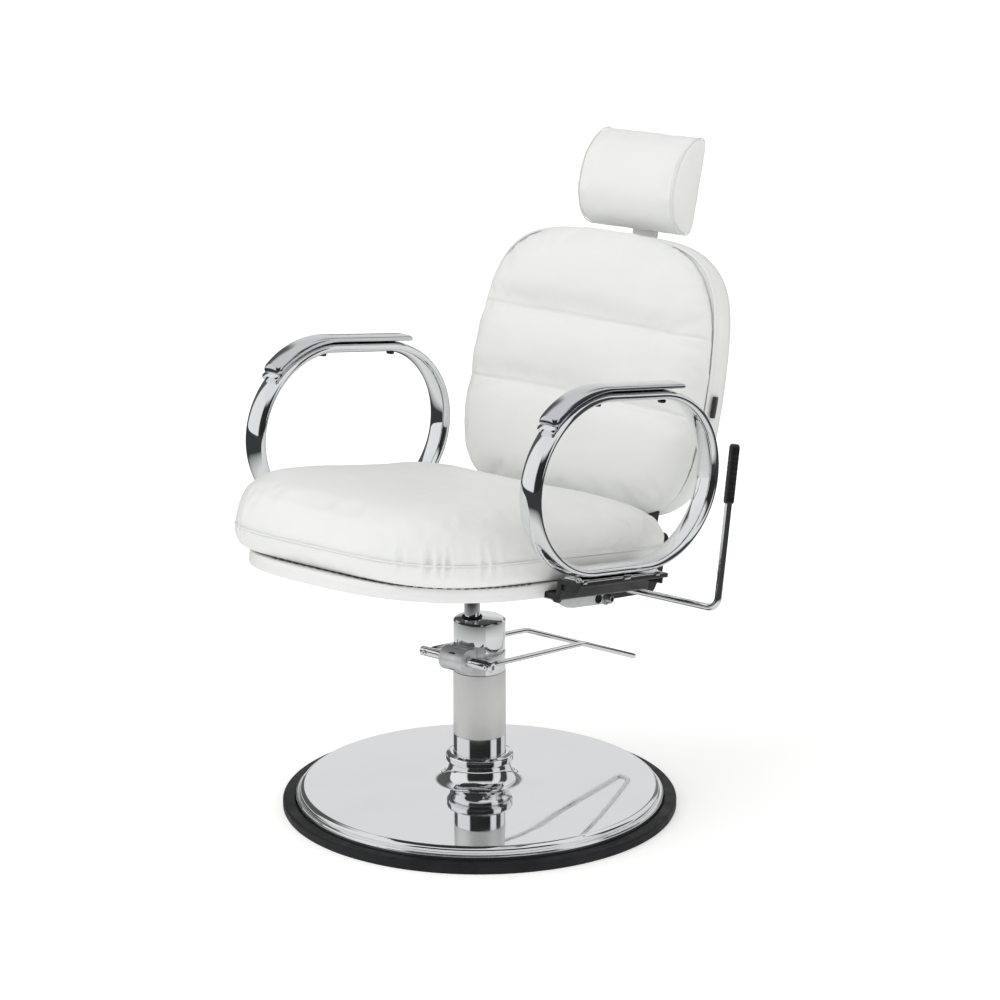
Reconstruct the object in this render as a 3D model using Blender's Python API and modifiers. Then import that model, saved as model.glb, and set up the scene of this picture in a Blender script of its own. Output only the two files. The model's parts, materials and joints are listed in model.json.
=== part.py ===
"""Hair-salon styling chair: round chrome base, foot-pumped hydraulic column, tilted seat with
loop arms, reclining back and a headrest on a sliding bar.

Metres, +Z up. The origin is on the floor at the base's centre, the sitter faces -Y, and +X is the
sitter's left. Each piece is one object; the pieces that move hang from an empty on their joint's axis.
Run with: blender --background --python part.py
"""

import math

import bmesh
import bpy
from mathutils import Matrix, Vector

GAP = 0.0003  # clearance between pieces that touch

# Base
BASE_R = 0.325
RING_TOP = 0.0155
COVER_R = 0.3035
PLATE_TOP = 0.0160
PLATE_FOOT_R = 0.2585
SOCKET_R = 0.0500
SOCKET_TOP = 0.0260
ESCUTCHEON_R = 0.0555

# Column and pump
COLUMN_R = 0.0431
COLUMN_BORE_R = 0.0385
SLEEVE_FROM = 0.1210
COLUMN_TOP = 0.2302
HEAD_TOP = 0.3137
HEAD_R = 0.0405
COLLAR_R = 0.0425
COLLAR_FROM = 0.2680
COLLAR_TOP = 0.3180
ROD_AT = (-0.012, -0.004)  # the piston stands off the column's centre
ROD_R = 0.0130
ROD_TOP = 0.3740
SHAFT_AT = (-0.057, 0.2616)  # y and z of the pump's cross shaft
SHAFT_R = 0.0080
SHAFT_HALF = 0.074
PEDAL_R = 0.0045
PEDAL_X = 0.064
PEDAL_PRESS = 0.0295  # how far behind the shaft the rocker pushes the plunger
PLUNGER_R = 0.0040

# Seat, in its own frame: x across, y back along the seat, z square to it; z = 0 is the welt seam
SEAT_HEIGHT = 0.468
SEAT_TILT = math.radians(9.0)
SEAT_HALF_WIDTH = 0.235
SEAT_FRONT = -0.416
SEAT_REAR = 0.214
SEAT_CORNER = 4.0  # superellipse exponent at the front corners
SEAT_REAR_CORNER = 9.0
BOARD_TOP = -0.0380
BOARD_THICK = 0.0130
BOARD_LIP = 0.0200  # the board's depth in front of the arm brackets
BOARD_CORNER = 2.8  # its front corners are rounder than the cushion's
ARM_X = 0.280
ARM_MID = (-0.011, 0.123)  # y and z of the loop's centre
ARM_FLAT_HALF = 0.066
ARM_END = (0.168, 0.1367)  # semi-axes of the loop's rounded ends
ARM_HALF_THICK = 0.009
ARM_HALF_WIDTH = 0.020
PAD_HALF_THICK = 0.0045
PAD_HALF_WIDTH = 0.022
PAD_REAR = 0.107
CHANNEL_HALF = 0.240
CHANNEL_TOP = -0.0605
CHANNEL_DEEP = -0.0790
HINGE_AT = (0.2359, -0.0062)  # y and z of the recline axle in the seat's frame
LEVER_AT = (0.141, -0.072)
LEVER_R = 0.0057
LEVER_OUT = 0.380
STRUT_X = 0.100
STRUT_AT = (0.065, -0.072)
CRANK_LENGTH = 0.055

# Back, in its own frame: x across, y square to the back and rearward, z up along it
BACK_LEAN = math.radians(15.0)
BACK_HINGE = (0.020, -0.041)  # y and z of the recline axle in the back's frame
BACK_HALF_WIDTH = 0.237
SHELL_HALF_WIDTH = 0.245
SHELL_CORNER = 4.0  # superellipse exponent at the shell's upper corners
BACK_BOTTOM = -0.007
BACK_TOP = 0.451
BACK_CORNER = 4.0  # superellipse exponent at the lower corners
BACK_TOP_CORNER = 3.3
BACK_TAPER = 0.06
BAR_HALF_WIDTH = 0.025
BAR_FRONT = 0.1058
BAR_THICK = 0.0050
GUIDE_FROM, GUIDE_TO = 0.280, 0.375
KNOB_UP = 0.330
HEADREST_HALF_WIDTH = 0.103

ROUND = 32  # sides of most turned pieces
BASE_ROUND = 48
SEAT_COUNT = 44  # points round each ring of a cushion

UPRIGHT = {
    "XY": (0.0, 0.0, 0.0),
    "YZ": (math.pi / 2, 0.0, math.pi / 2),  # outline's x and y become y and z
    "XZ": (math.pi / 2, 0.0, 0.0),  # outline's x and y become x and z
}


# ---------------------------------------------------------------- scene and materials

def clear_scene():
    for obj in list(bpy.data.objects):
        bpy.data.objects.remove(obj, do_unlink=True)


def new_collection(name):
    collection = bpy.data.collections.new(name)
    bpy.context.scene.collection.children.link(collection)
    return collection


def principled(name, colour, metallic, roughness):
    material = bpy.data.materials.new(name)
    material.use_nodes = True
    shader = material.node_tree.nodes["Principled BSDF"]
    shader.inputs["Base Color"].default_value = (*colour, 1.0)
    shader.inputs["Metallic"].default_value = metallic
    shader.inputs["Roughness"].default_value = roughness
    return material


clear_scene()
PARTS = new_collection("styling_chair")
CUTTERS = new_collection("cutters")

CHROME = principled("chrome", (0.80, 0.81, 0.82), 1.0, 0.08)
SATIN = principled("satin_steel", (0.74, 0.74, 0.73), 0.9, 0.35)
CAST = principled("cast_alloy", (0.55, 0.56, 0.57), 0.8, 0.5)
STEEL = principled("plain_steel", (0.42, 0.43, 0.44), 1.0, 0.4)
IRON = principled("cast_iron", (0.12, 0.12, 0.13), 0.6, 0.7)
BLACK_PAINT = principled("black_paint", (0.02, 0.02, 0.02), 0.2, 0.45)
RUBBER = principled("black_rubber", (0.02, 0.02, 0.022), 0.0, 0.65)
PLASTIC = principled("black_plastic", (0.015, 0.015, 0.016), 0.0, 0.4)
VINYL = principled("white_vinyl", (0.86, 0.86, 0.84), 0.0, 0.42)
SHELL = principled("white_shell", (0.86, 0.86, 0.84), 0.0, 0.4)
TAG = principled("tag_cloth", (0.02, 0.02, 0.02), 0.0, 0.7)
GREY_PAINT = principled("grey_paint", (0.60, 0.61, 0.62), 0.7, 0.35)


# ---------------------------------------------------------------- building blocks

def empty(name, location, rotation=(0.0, 0.0, 0.0), parent=None):
    axis = bpy.data.objects.new(name, None)
    axis.location = location
    axis.rotation_euler = rotation
    axis.parent = parent
    PARTS.objects.link(axis)
    return axis


def add_object(name, data, material=None, parent=None):
    """Links a piece, or a cutter when it has no material."""
    obj = bpy.data.objects.new(name, data)
    obj.parent = parent
    if material is None:
        CUTTERS.objects.link(obj)
        obj.hide_render = True
        obj.display_type = "WIRE"
    else:
        PARTS.objects.link(obj)
        data.materials.append(material)
    return obj


def smooth(mesh, sharp_degrees=35):
    mesh.shade_smooth()
    mesh.set_sharp_from_angle(angle=math.radians(sharp_degrees))


def mesh_from(name, bm):
    mesh = bpy.data.meshes.new(name)
    bm.to_mesh(mesh)
    bm.free()
    return mesh


def box(name, low, high, material=None, parent=None, bevel=0.0):
    bm = bmesh.new()
    bmesh.ops.create_cube(bm, size=1.0)
    middle = [(a + b) / 2 for a, b in zip(low, high)]
    size = [b - a for a, b in zip(low, high)]
    bmesh.ops.scale(bm, vec=size, verts=bm.verts)
    bmesh.ops.translate(bm, vec=middle, verts=bm.verts)
    obj = add_object(name, mesh_from(name, bm), material, parent)
    if bevel:
        edge = obj.modifiers.new("rounded edges", "BEVEL")
        edge.width = bevel
        edge.segments = 2
    return obj


def cylinder(name, radius, start, end, material=None, parent=None, sides=ROUND):
    """A plain cylinder between two points."""
    a, b = Vector(start), Vector(end)
    bm = bmesh.new()
    turn = (b - a).to_track_quat("Z", "Y").to_matrix().to_4x4()
    bmesh.ops.create_cone(
        bm, cap_ends=True, segments=sides, radius1=radius, radius2=radius, depth=(b - a).length,
        matrix=Matrix.Translation((a + b) / 2) @ turn,
    )
    obj = add_object(name, mesh_from(name, bm), material, parent)
    smooth(obj.data)
    return obj


def turned(name, profile, material=None, parent=None, centre=(0.0, 0.0), closed=False, steps=ROUND,
           rotation=(0.0, 0.0, 0.0)):
    """A Screw of a profile of (radius, height) points, down the outer side first."""
    points = [(r, 0.0, z) for r, z in profile]
    edges = [(i, i + 1) for i in range(len(points) - 1)]
    if closed:
        edges.append((len(points) - 1, 0))
    mesh = bpy.data.meshes.new(name)
    mesh.from_pydata(points, edges, [])
    obj = add_object(name, mesh, material, parent)
    obj.location = (*centre, 0.0)
    obj.rotation_euler = rotation
    screw = obj.modifiers.new("turn", "SCREW")
    screw.axis = "Z"
    screw.steps = steps
    screw.render_steps = steps
    screw.use_merge_vertices = True
    screw.merge_threshold = 0.00001
    screw.use_smooth_shade = True
    return obj


def ring(name, inner, outer, low, high, material=None, parent=None, centre=(0.0, 0.0), steps=ROUND):
    profile = [(outer, high), (outer, low), (inner, low), (inner, high)]
    return turned(name, profile, material, parent, centre, closed=True, steps=steps)


def rounded_path(points, radius, steps=4):
    """The points with each corner replaced by a short curve that starts `radius` before it."""
    corners = [Vector(p) for p in points]
    path = [corners[0]]
    for before, corner, after in zip(corners, corners[1:], corners[2:]):
        start = corner + (before - corner).normalized() * radius
        end = corner + (after - corner).normalized() * radius
        for i in range(steps + 1):
            t = i / steps
            path.append(start * (1 - t) ** 2 + corner * 2 * t * (1 - t) + end * t ** 2)
    path.append(corners[-1])
    return path


def tube(name, points, radius, material=None, parent=None, cyclic=False, band=0.0, rotation=None,
         resolution=2):
    """A curve with a round section, or a band's section when `band` is over zero."""
    curve = bpy.data.curves.new(name, "CURVE")
    curve.dimensions = "3D"
    curve.bevel_depth = radius
    curve.bevel_resolution = resolution
    curve.extrude = band
    curve.use_fill_caps = not cyclic
    curve.twist_mode = "Z_UP" if band else "MINIMUM"
    spline = curve.splines.new("POLY")
    spline.points.add(len(points) - 1)
    spline.use_cyclic_u = cyclic
    for target, point in zip(spline.points, points):
        target.co = (*point, 1.0)
    obj = add_object(name, curve, material, parent)
    if rotation:
        obj.rotation_euler = rotation
    return obj


def plate(name, outline, low, high, material=None, parent=None, plane="XY"):
    """A flat outline in the given plane, with its thickness between two values of the third axis."""
    curve = bpy.data.curves.new(name, "CURVE")
    curve.dimensions = "2D"
    curve.fill_mode = "BOTH"
    curve.extrude = (high - low) / 2
    spline = curve.splines.new("POLY")
    spline.points.add(len(outline) - 1)
    spline.use_cyclic_u = True
    for target, (u, v) in zip(spline.points, outline):
        target.co = (u, v, 0.0, 1.0)
    obj = add_object(name, curve, material, parent)
    middle = (low + high) / 2
    obj.rotation_euler = UPRIGHT[plane]
    obj.location = {"XY": (0, 0, middle), "YZ": (middle, 0, 0), "XZ": (0, middle, 0)}[plane]
    return as_mesh(obj, material, parent)


def as_mesh(curve_object, material=None, parent=None):
    """Replaces a curve object with its welded mesh, in the parent's frame."""
    name = curve_object.name
    bpy.context.view_layer.update()
    graph = bpy.context.evaluated_depsgraph_get()
    mesh = bpy.data.meshes.new_from_object(curve_object.evaluated_get(graph))
    bm = bmesh.new()
    bm.from_mesh(mesh)
    bmesh.ops.remove_doubles(bm, verts=bm.verts, dist=0.00001)
    bmesh.ops.recalc_face_normals(bm, faces=bm.faces)
    bm.to_mesh(mesh)
    bm.free()
    matrix = curve_object.matrix_local.copy()
    bpy.data.objects.remove(curve_object)
    mesh.materials.clear()
    obj = add_object(name, mesh, material, parent)
    obj.matrix_local = matrix
    smooth(mesh)
    return obj


def boolean(obj, other, operation):
    modifier = obj.modifiers.new(other.name, "BOOLEAN")
    modifier.operation = operation
    modifier.object = other


def cut(obj, *others):
    for other in others:
        boolean(obj, other, "DIFFERENCE")


def join(obj, *others):
    for other in others:
        boolean(obj, other, "UNION")


def power(value, exponent):
    return math.copysign(abs(value) ** exponent, value)


def soft_solid(name, rings, material, parent):
    """A loft through rings with equal numbers of points, closed at both ends."""
    count = len(rings[0])
    points = [p for loop in rings for p in loop]
    faces = []
    for row in range(len(rings) - 1):
        for i in range(count):
            j = (i + 1) % count
            above = (row + 1) * count
            faces.append((row * count + i, row * count + j, above + j, above + i))
    faces.append(tuple(reversed(range(count))))
    faces.append(tuple((len(rings) - 1) * count + i for i in range(count)))
    mesh = bpy.data.meshes.new(name)
    mesh.from_pydata(points, [], faces)
    bm = bmesh.new()
    bm.from_mesh(mesh)
    bmesh.ops.recalc_face_normals(bm, faces=bm.faces)
    bm.to_mesh(mesh)
    bm.free()
    mesh.shade_smooth()
    return add_object(name, mesh, material, parent)


# ---------------------------------------------------------------- outlines

def seat_outline(inset, count, front_tuck=0.0, rear_tuck=0.0, front_corner=SEAT_CORNER):
    """The seat's plan: a superellipse with rounder corners in front than behind."""
    front, rear = SEAT_FRONT + front_tuck, SEAT_REAR - rear_tuck
    middle = (front + rear) / 2
    half_depth = (rear - front) / 2 - inset
    outline = []
    for i in range(count):
        t = 2 * math.pi * (i + 0.5) / count
        corner = front_corner if math.sin(t) < 0 else SEAT_REAR_CORNER
        x = (SEAT_HALF_WIDTH - inset) * power(math.cos(t), 2 / corner)
        y = middle + half_depth * power(math.sin(t), 2 / corner)
        outline.append((x, y))
    return outline


def back_outline(inset, count, half_width=BACK_HALF_WIDTH, top_corner=BACK_TOP_CORNER):
    """The back's outline, across and up: rounded corners and a slight taper towards the top."""
    middle = (BACK_BOTTOM + BACK_TOP) / 2
    half_height = (BACK_TOP - BACK_BOTTOM) / 2 - inset
    outline = []
    for i in range(count):
        t = 2 * math.pi * (i + 0.5) / count
        corner = top_corner if math.sin(t) > 0 else BACK_CORNER
        s = middle + half_height * power(math.sin(t), 2 / corner)
        taper = 1 - BACK_TAPER * max(0.0, (s - middle) / half_height)
        x = (half_width * taper - inset) * power(math.cos(t), 2 / corner)
        outline.append((x, s))
    return outline


def arm_point(angle, offset):
    """A point on the arm loop's rounded ends, `offset` outside its centre line; 0 is rearmost."""
    a, b = ARM_END
    c, s = math.cos(angle), math.sin(angle)
    normal = Vector((c / a, s / b)).normalized()
    middle = ARM_MID[0] + math.copysign(ARM_FLAT_HALF, c)
    return (middle + a * c + normal.x * offset, ARM_MID[1] + b * s + normal.y * offset)


def arm_loop_path(steps=14):
    """The loop's centre line: two half ellipses joined by a flat top and a flat bottom."""
    path = []
    for side in (0, 1):
        for i in range(steps + 1):
            angle = math.pi * (side - 0.5) + math.pi * i / steps
            tiny = 1e-4 if i == 0 else (-1e-4 if i == steps else 0.0)
            path.append((*arm_point(angle + tiny, 0.0), 0.0))
    return path


def arm_pad_path(steps=6):
    """The pad's centre line: up the loop's front shoulder, then straight back over the top."""
    offset = ARM_HALF_THICK + PAD_HALF_THICK + 0.0005
    first, last = math.radians(142), math.radians(90.01)
    path = [(*arm_point(first + (last - first) * i / steps, offset), 0.0) for i in range(steps + 1)]
    path.append((PAD_REAR, path[-1][1], 0.0))
    return path


# ---------------------------------------------------------------- base and column

def build_base():
    turned("base_rubber_ring", [
        (BASE_R - 0.0025, RING_TOP), (BASE_R, 0.0115), (BASE_R, 0.0), (PLATE_FOOT_R + 0.0015, 0.0),
        (PLATE_FOOT_R + 0.0015, 0.0040), (COVER_R + 0.0010, 0.0040), (COVER_R + 0.0010, RING_TOP),
    ], RUBBER, closed=True, steps=BASE_ROUND)

    # Ballast plate: flush with the floor inside the rubber ring, with a socket for the column's foot.
    turned("base_plate", [
        (0.0, 0.0120), (SOCKET_R, 0.0120), (SOCKET_R, SOCKET_TOP), (SOCKET_R + 0.016, SOCKET_TOP),
        (SOCKET_R + 0.020, PLATE_TOP), (COVER_R, PLATE_TOP), (COVER_R, 0.0043), (PLATE_FOOT_R, 0.0043),
        (PLATE_FOOT_R, 0.0), (0.0, 0.0),
    ], IRON, steps=BASE_ROUND)

    wall = 0.0016
    outer = [
        (0.0500, 0.0722), (0.0515, 0.0665), (0.0570, 0.0600), (0.0690, 0.0530), (0.0950, 0.0470),
        (0.1500, 0.0420), (0.2300, 0.0372), (0.2890, 0.0337), (0.2950, 0.0318), (0.2962, 0.0280),
        (0.2966, 0.0238), (0.3015, 0.0226), (COVER_R, 0.0200), (COVER_R, PLATE_TOP + GAP),
    ]
    inner = [(r - wall, z - wall * (0.4 if r < 0.06 else 1.0)) for r, z in outer[:-1]]
    inner.append((COVER_R - wall, PLATE_TOP + GAP))
    turned("base_cover", outer + inner[::-1], CHROME, closed=True, steps=BASE_ROUND)

    inside = COLUMN_R + GAP
    turned("escutcheon_ring", [
        (0.0500, 0.0885), (0.0535, 0.0875), (ESCUTCHEON_R, 0.0850), (ESCUTCHEON_R, 0.0760),
        (0.0535, 0.0735), (0.0500, 0.0726), (inside, 0.0726), (inside, 0.0885),
    ], CHROME, closed=True)


def build_column():
    tube_r = COLUMN_R - 0.0001
    foot_r = SOCKET_R - GAP
    step_r = COLUMN_R - 0.0011
    turned("column_tube", [
        (0.0, 0.0163), (COLUMN_BORE_R, 0.0163), (COLUMN_BORE_R, COLUMN_TOP), (step_r, COLUMN_TOP),
        (step_r, SLEEVE_FROM), (tube_r, SLEEVE_FROM), (tube_r, 0.0190), (foot_r, 0.0190),
        (foot_r, 0.0120 + GAP), (0.0, 0.0120 + GAP),
    ], CHROME)
    # The nut that clamps the column's foot into the socket.
    turned("column_lock_ring", [
        (SOCKET_R + 0.014, 0.0345), (SOCKET_R + 0.014, SOCKET_TOP + GAP), (foot_r, SOCKET_TOP + GAP),
        (foot_r, 0.0190 + GAP), (COLUMN_R + GAP, 0.0190 + GAP), (COLUMN_R + GAP, 0.0345),
    ], STEEL, closed=True, steps=24)
    ring("column_sleeve", step_r + GAP, COLUMN_R, SLEEVE_FROM + GAP, COLUMN_TOP, SATIN)
    ring("inner_cylinder", 0.0158, 0.0185, 0.0300, 0.2145, STEEL, centre=ROD_AT, steps=24)

    # Cast pump head: a spigot in the column, and a boss across the front for the pedal's shaft.
    shoulder = COLUMN_TOP + GAP
    head = turned("pump_head", [
        (0.0, HEAD_TOP), (HEAD_R, HEAD_TOP), (HEAD_R, COLLAR_FROM - 0.006),
        (COLUMN_R - 0.0003, COLLAR_FROM - 0.0085), (COLUMN_R - 0.0003, shoulder),
        (COLUMN_BORE_R - 0.0004, shoulder), (COLUMN_BORE_R - 0.0004, 0.2150), (0.0, 0.2150),
    ], CAST)
    y, z = SHAFT_AT
    press_y = y + PEDAL_PRESS
    boss = cylinder("boss", 0.020, (-0.024, y, z), (0.024, y, z))
    bridge = box("bridge", (-0.020, y, z - 0.0181), (0.020, -0.030, z + 0.0165))
    join(head, bridge, boss)
    cut(
        head,
        cylinder("rod_bore", ROD_R + 0.0004, (*ROD_AT, 0.21), (*ROD_AT, 0.33)),
        cylinder("shaft_bore", SHAFT_R + GAP, (-0.03, y, z), (0.03, y, z), sides=24),
        box("rocker_slot", (-0.0065, y - 0.0145, z - 0.0145), (0.0065, -0.0208, z + 0.0148)),
        cylinder("spring_bore", 0.0064, (0.0, press_y, 0.2200), (0.0, press_y, z), sides=20),
        cylinder("plunger_bore", PLUNGER_R + GAP, (0.0, press_y, 0.21), (0.0, press_y, 0.23), sides=16),
    )

    collar = turned("collar_cap", [
        (0.0, COLLAR_TOP), (COLLAR_R - 0.003, COLLAR_TOP), (COLLAR_R, COLLAR_TOP - 0.003),
        (COLLAR_R, COLLAR_FROM), (HEAD_R + GAP, COLLAR_FROM), (HEAD_R + GAP, HEAD_TOP + GAP),
        (0.0, HEAD_TOP + GAP),
    ], CHROME)
    cut(
        collar,
        box("collar_notch", (-0.0270, -0.060, 0.260), (0.0337, -0.020, 0.2806)),
        cylinder("gland_bore", 0.0168, (*ROD_AT, 0.31), (*ROD_AT, 0.33)),
    )
    ring("gland_seal", ROD_R + GAP, 0.0165, HEAD_TOP + GAP, 0.3205, RUBBER, centre=ROD_AT)


def build_pump():
    """The pedal's shaft and everything it turns, from an empty on the shaft's axis."""
    pedal_axis = empty("pedal_axis", (0.0, *SHAFT_AT))
    shaft = cylinder("pump_shaft", SHAFT_R, (-SHAFT_HALF, 0, 0), (SHAFT_HALF, 0, 0), CHROME, pedal_axis, 24)
    flat_y = -SHAFT_R + 0.0012
    for side, name in ((1, "left"), (-1, "right")):
        at = side * PEDAL_X
        near, far = sorted((side * 0.034, side * (SHAFT_HALF + 0.001)))
        cut(
            shaft,
            cylinder(f"rod_socket_{name}", PEDAL_R + GAP, (at, -0.001, 0), (at, 0.010, 0), None, pedal_axis, 16),
            box(f"shaft_flat_{name}", (near, -0.012, -0.010), (far, flat_y, 0.010), parent=pedal_axis),
            cylinder(f"screw_hole_{name}", 0.0028, (at, -0.012, 0), (at, 0.0, 0), None, pedal_axis, 12),
        )
        start = (at, flat_y - 0.001, 0)
        screw = cylinder(f"pedal_set_screw_{name}", 0.0025, start, (at, -0.0013, 0), CHROME, pedal_axis, 12)
        start = (at, flat_y - 0.0026, 0)
        join(screw, cylinder(f"screw_head_{name}", 0.0042, start, (at, flat_y - GAP, 0), None, pedal_axis, 16))

    side = [(PEDAL_X, 0.0, 0.0), (PEDAL_X, 0.020, 0.0), (0.0595, 0.257, -0.0266), (0.0120, 0.472, -0.1136)]
    other = [(-x, y, z) for x, y, z in reversed(side)]
    loop = rounded_path(side + other, 0.0105, steps=4)
    tube("pump_pedal", loop, PEDAL_R, CHROME, pedal_axis)

    # The rocker is keyed to the shaft inside the boss and presses the plunger.
    hub = cylinder("pump_rocker", 0.0125, (-0.005, 0, 0), (0.005, 0, 0), STEEL, pedal_axis, 24)
    join(hub, box("rocker_finger", (-0.005, 0.009, -0.0040), (0.005, 0.0300, 0.0030), parent=pedal_axis))
    cut(hub, cylinder("rocker_bore", SHAFT_R + GAP, (-0.01, 0, 0), (0.01, 0, 0), None, pedal_axis, 24))

    y, z = SHAFT_AT[0] + PEDAL_PRESS, SHAFT_AT[1]
    plunger_axis = empty("plunger_axis", (0.0, y, z))
    turned("pump_plunger", [
        (0.0, -0.0043), (0.0060, -0.0043), (0.0060, -0.0075), (PLUNGER_R, -0.0075), (PLUNGER_R, -0.0500),
        (0.0, -0.0500),
    ], STEEL, plunger_axis, steps=16)
    turns, low, high = 6, 0.2211 - z, z - 0.0087 - z
    count = turns * 10
    coil = []
    for i in range(count + 1):
        angle = 2 * math.pi * turns * i / count
        coil.append((0.0052 * math.cos(angle), 0.0052 * math.sin(angle), low + (high - low) * i / count))
    tube("plunger_spring", coil, 0.0006, STEEL, plunger_axis, resolution=0)


def build_lift():
    """The ram that lifts the seat; it slides on its own axis, beside the column's centre."""
    lift_axis = empty("lift_axis", (*ROD_AT, 0.0))
    turned("piston_rod", [
        (0.0, ROD_TOP), (ROD_R - 0.001, ROD_TOP), (ROD_R, ROD_TOP - 0.001), (ROD_R, 0.0640),
        (0.0060, 0.0640), (0.0060, 0.0500), (0.0, 0.0500),
    ], CHROME, lift_axis)
    ring("piston", 0.0060 + GAP, 0.0155, 0.0500, 0.0640 - GAP, STEEL, lift_axis, steps=24)
    return empty("swivel_axis", (0.0, 0.0, 0.0), parent=lift_axis)


# ---------------------------------------------------------------- seat

def build_seat(seat, swivel_axis):
    # Hub: a socket over the rod under a flange that lies square to the tilted seat.
    hub = cylinder("swivel_hub", 0.0340, (0, 0, 0.345), (0, 0, 0.3850), IRON, swivel_axis)
    low, high = CHANNEL_DEEP - 0.0065, CHANNEL_DEEP - GAP
    centre = (ROD_AT[0], 0.0091)
    flange = box("hub_flange", (centre[0] - 0.080, centre[1] - 0.046, low),
                 (centre[0] + 0.080, centre[1] + 0.034, high), parent=seat)
    trim = box("hub_trim", (-0.1, -0.1, high), (0.1, 0.1, high + 0.02), parent=seat)
    join(hub, flange)
    cut(hub, trim, cylinder("hub_bore", ROD_R + GAP, (0, 0, 0.34), (0, 0, ROD_TOP + GAP), None, swivel_axis))

    channel = build_channel(seat)
    bolts = [(centre[0] + sx * 0.062, centre[1] + y) for sx in (-1, 1) for y in (-0.036, 0.016)]
    for i, (x, y) in enumerate(bolts, start=1):
        top = CHANNEL_DEEP + 0.009
        bolt = cylinder(f"hub_bolt_{i}", 0.0035, (x, y, low - 0.001), (x, y, top), STEEL, seat, 12)
        join(bolt, cylinder(f"hub_bolt_head_{i}", 0.0075, (x, y, low - 0.0058), (x, y, low - GAP), None, seat, 6))
        hole = cylinder(f"hub_bolt_hole_{i}", 0.0039, (x, y, low - 0.01), (x, y, top + 0.001), None, seat, 12)
        cut(hub, hole)
        cut(channel, hole)

    start = (CHANNEL_HALF + 0.0006, 0.034, -0.0720)
    cylinder("channel_bolt", 0.0080, start, (CHANNEL_HALF + 0.012, *start[1:]), STEEL, seat, 6)

    low, foot = BOARD_TOP - BOARD_THICK, BOARD_TOP - BOARD_LIP
    outline = [seat_outline(inset, SEAT_COUNT, 0.006, 0.012, BOARD_CORNER) for inset in (0.0, 0.0006, 0.015)]
    board = plate("seat_board", outline[0], low, BOARD_TOP, SHELL, seat)
    lip = plate("board_lip", outline[1], foot, low + 0.002, parent=seat)
    cut(
        lip,
        plate("lip_inside", outline[2], foot - 0.01, low, parent=seat),
        box("lip_end", (-0.3, -0.1235, -0.08), (0.3, 0.3, -0.03), parent=seat),
    )
    join(board, lip)
    cut(board, box("crank_notch", (STRUT_X - 0.022, 0.095, -0.08), (STRUT_X + 0.022, 0.25, -0.03), parent=seat))

    levels = [  # height, inset all round, tuck at the front
        (-0.0373, 0.004, 0.026), (-0.0300, 0.000, 0.018), (-0.0120, -0.001, 0.004), (0.0000, 0.000, 0.000),
        (0.0150, -0.006, 0.001), (0.0340, -0.007, 0.002), (0.0520, 0.002, 0.004), (0.0660, 0.018, 0.008),
        (0.0770, 0.046, 0.012), (0.0840, 0.090, 0.018),
    ]
    rings = []
    for z, inset, tuck in levels:
        rear_tuck = max(0.0, z - 0.014) * 0.50 if z > 0 else (z / 0.0373) ** 2 * 0.020
        rings.append([(x, y, z) for x, y in seat_outline(inset, SEAT_COUNT, tuck, rear_tuck)])
    soft_solid("seat_cushion", rings, VINYL, seat)


def build_channel(seat):
    """The pressed tray across the underside, which carries the hub and the recline strut's lugs."""
    deep = CHANNEL_DEEP
    outside = [(-0.042, CHANNEL_TOP), (0.045, CHANNEL_TOP), (0.030, deep), (-0.038, deep)]
    inside = [
        (-0.0385, CHANNEL_TOP + 0.01), (0.0418, CHANNEL_TOP + 0.01), (0.0418, CHANNEL_TOP),
        (0.0280, deep + 0.003), (-0.0350, deep + 0.003), (-0.0385, CHANNEL_TOP),
    ]
    cheek = [
        (-0.117, CHANNEL_TOP), (0.047, CHANNEL_TOP), (0.042, deep), (0.030, deep - 0.002),
        (-0.052, deep - 0.002), (-0.070, deep),
    ]
    wall = 0.004
    web = CHANNEL_HALF - wall
    channel = plate("cross_channel", outside, -CHANNEL_HALF, CHANNEL_HALF, GREY_PAINT, seat, plane="YZ")
    cut(channel, plate("channel_inside", inside, -web, web, parent=seat, plane="YZ"))
    for side, name in ((1, "left"), (-1, "right")):
        low, high = sorted((side * (web + 0.0002), side * (CHANNEL_HALF + 0.0002)))
        join(channel, plate(f"cheek_{name}", cheek, low, high, parent=seat, plane="YZ"))
    y, z = STRUT_AT
    for side, name in ((-1, "a"), (1, "b")):
        low, high = sorted((STRUT_X + side * 0.0085, STRUT_X + side * 0.0125))
        lug = [
            (0.0375, CHANNEL_TOP - 0.0035), (y, CHANNEL_TOP - 0.0035), (y + 0.008, z + 0.004),
            (y + 0.008, z - 0.004), (y, z - 0.0075), (0.0325, z - 0.0055),
        ]
        join(channel, plate(f"strut_lug_{name}", lug, low, high, parent=seat, plane="YZ"))
    cut(channel, cylinder("strut_pin_hole", 0.0053, (STRUT_X - 0.02, y, z), (STRUT_X + 0.02, y, z), None, seat, 20))
    cylinder("strut_pin", 0.0050, (STRUT_X - 0.015, y, z), (STRUT_X + 0.015, y, z), STEEL, seat, 20)
    return channel


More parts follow.
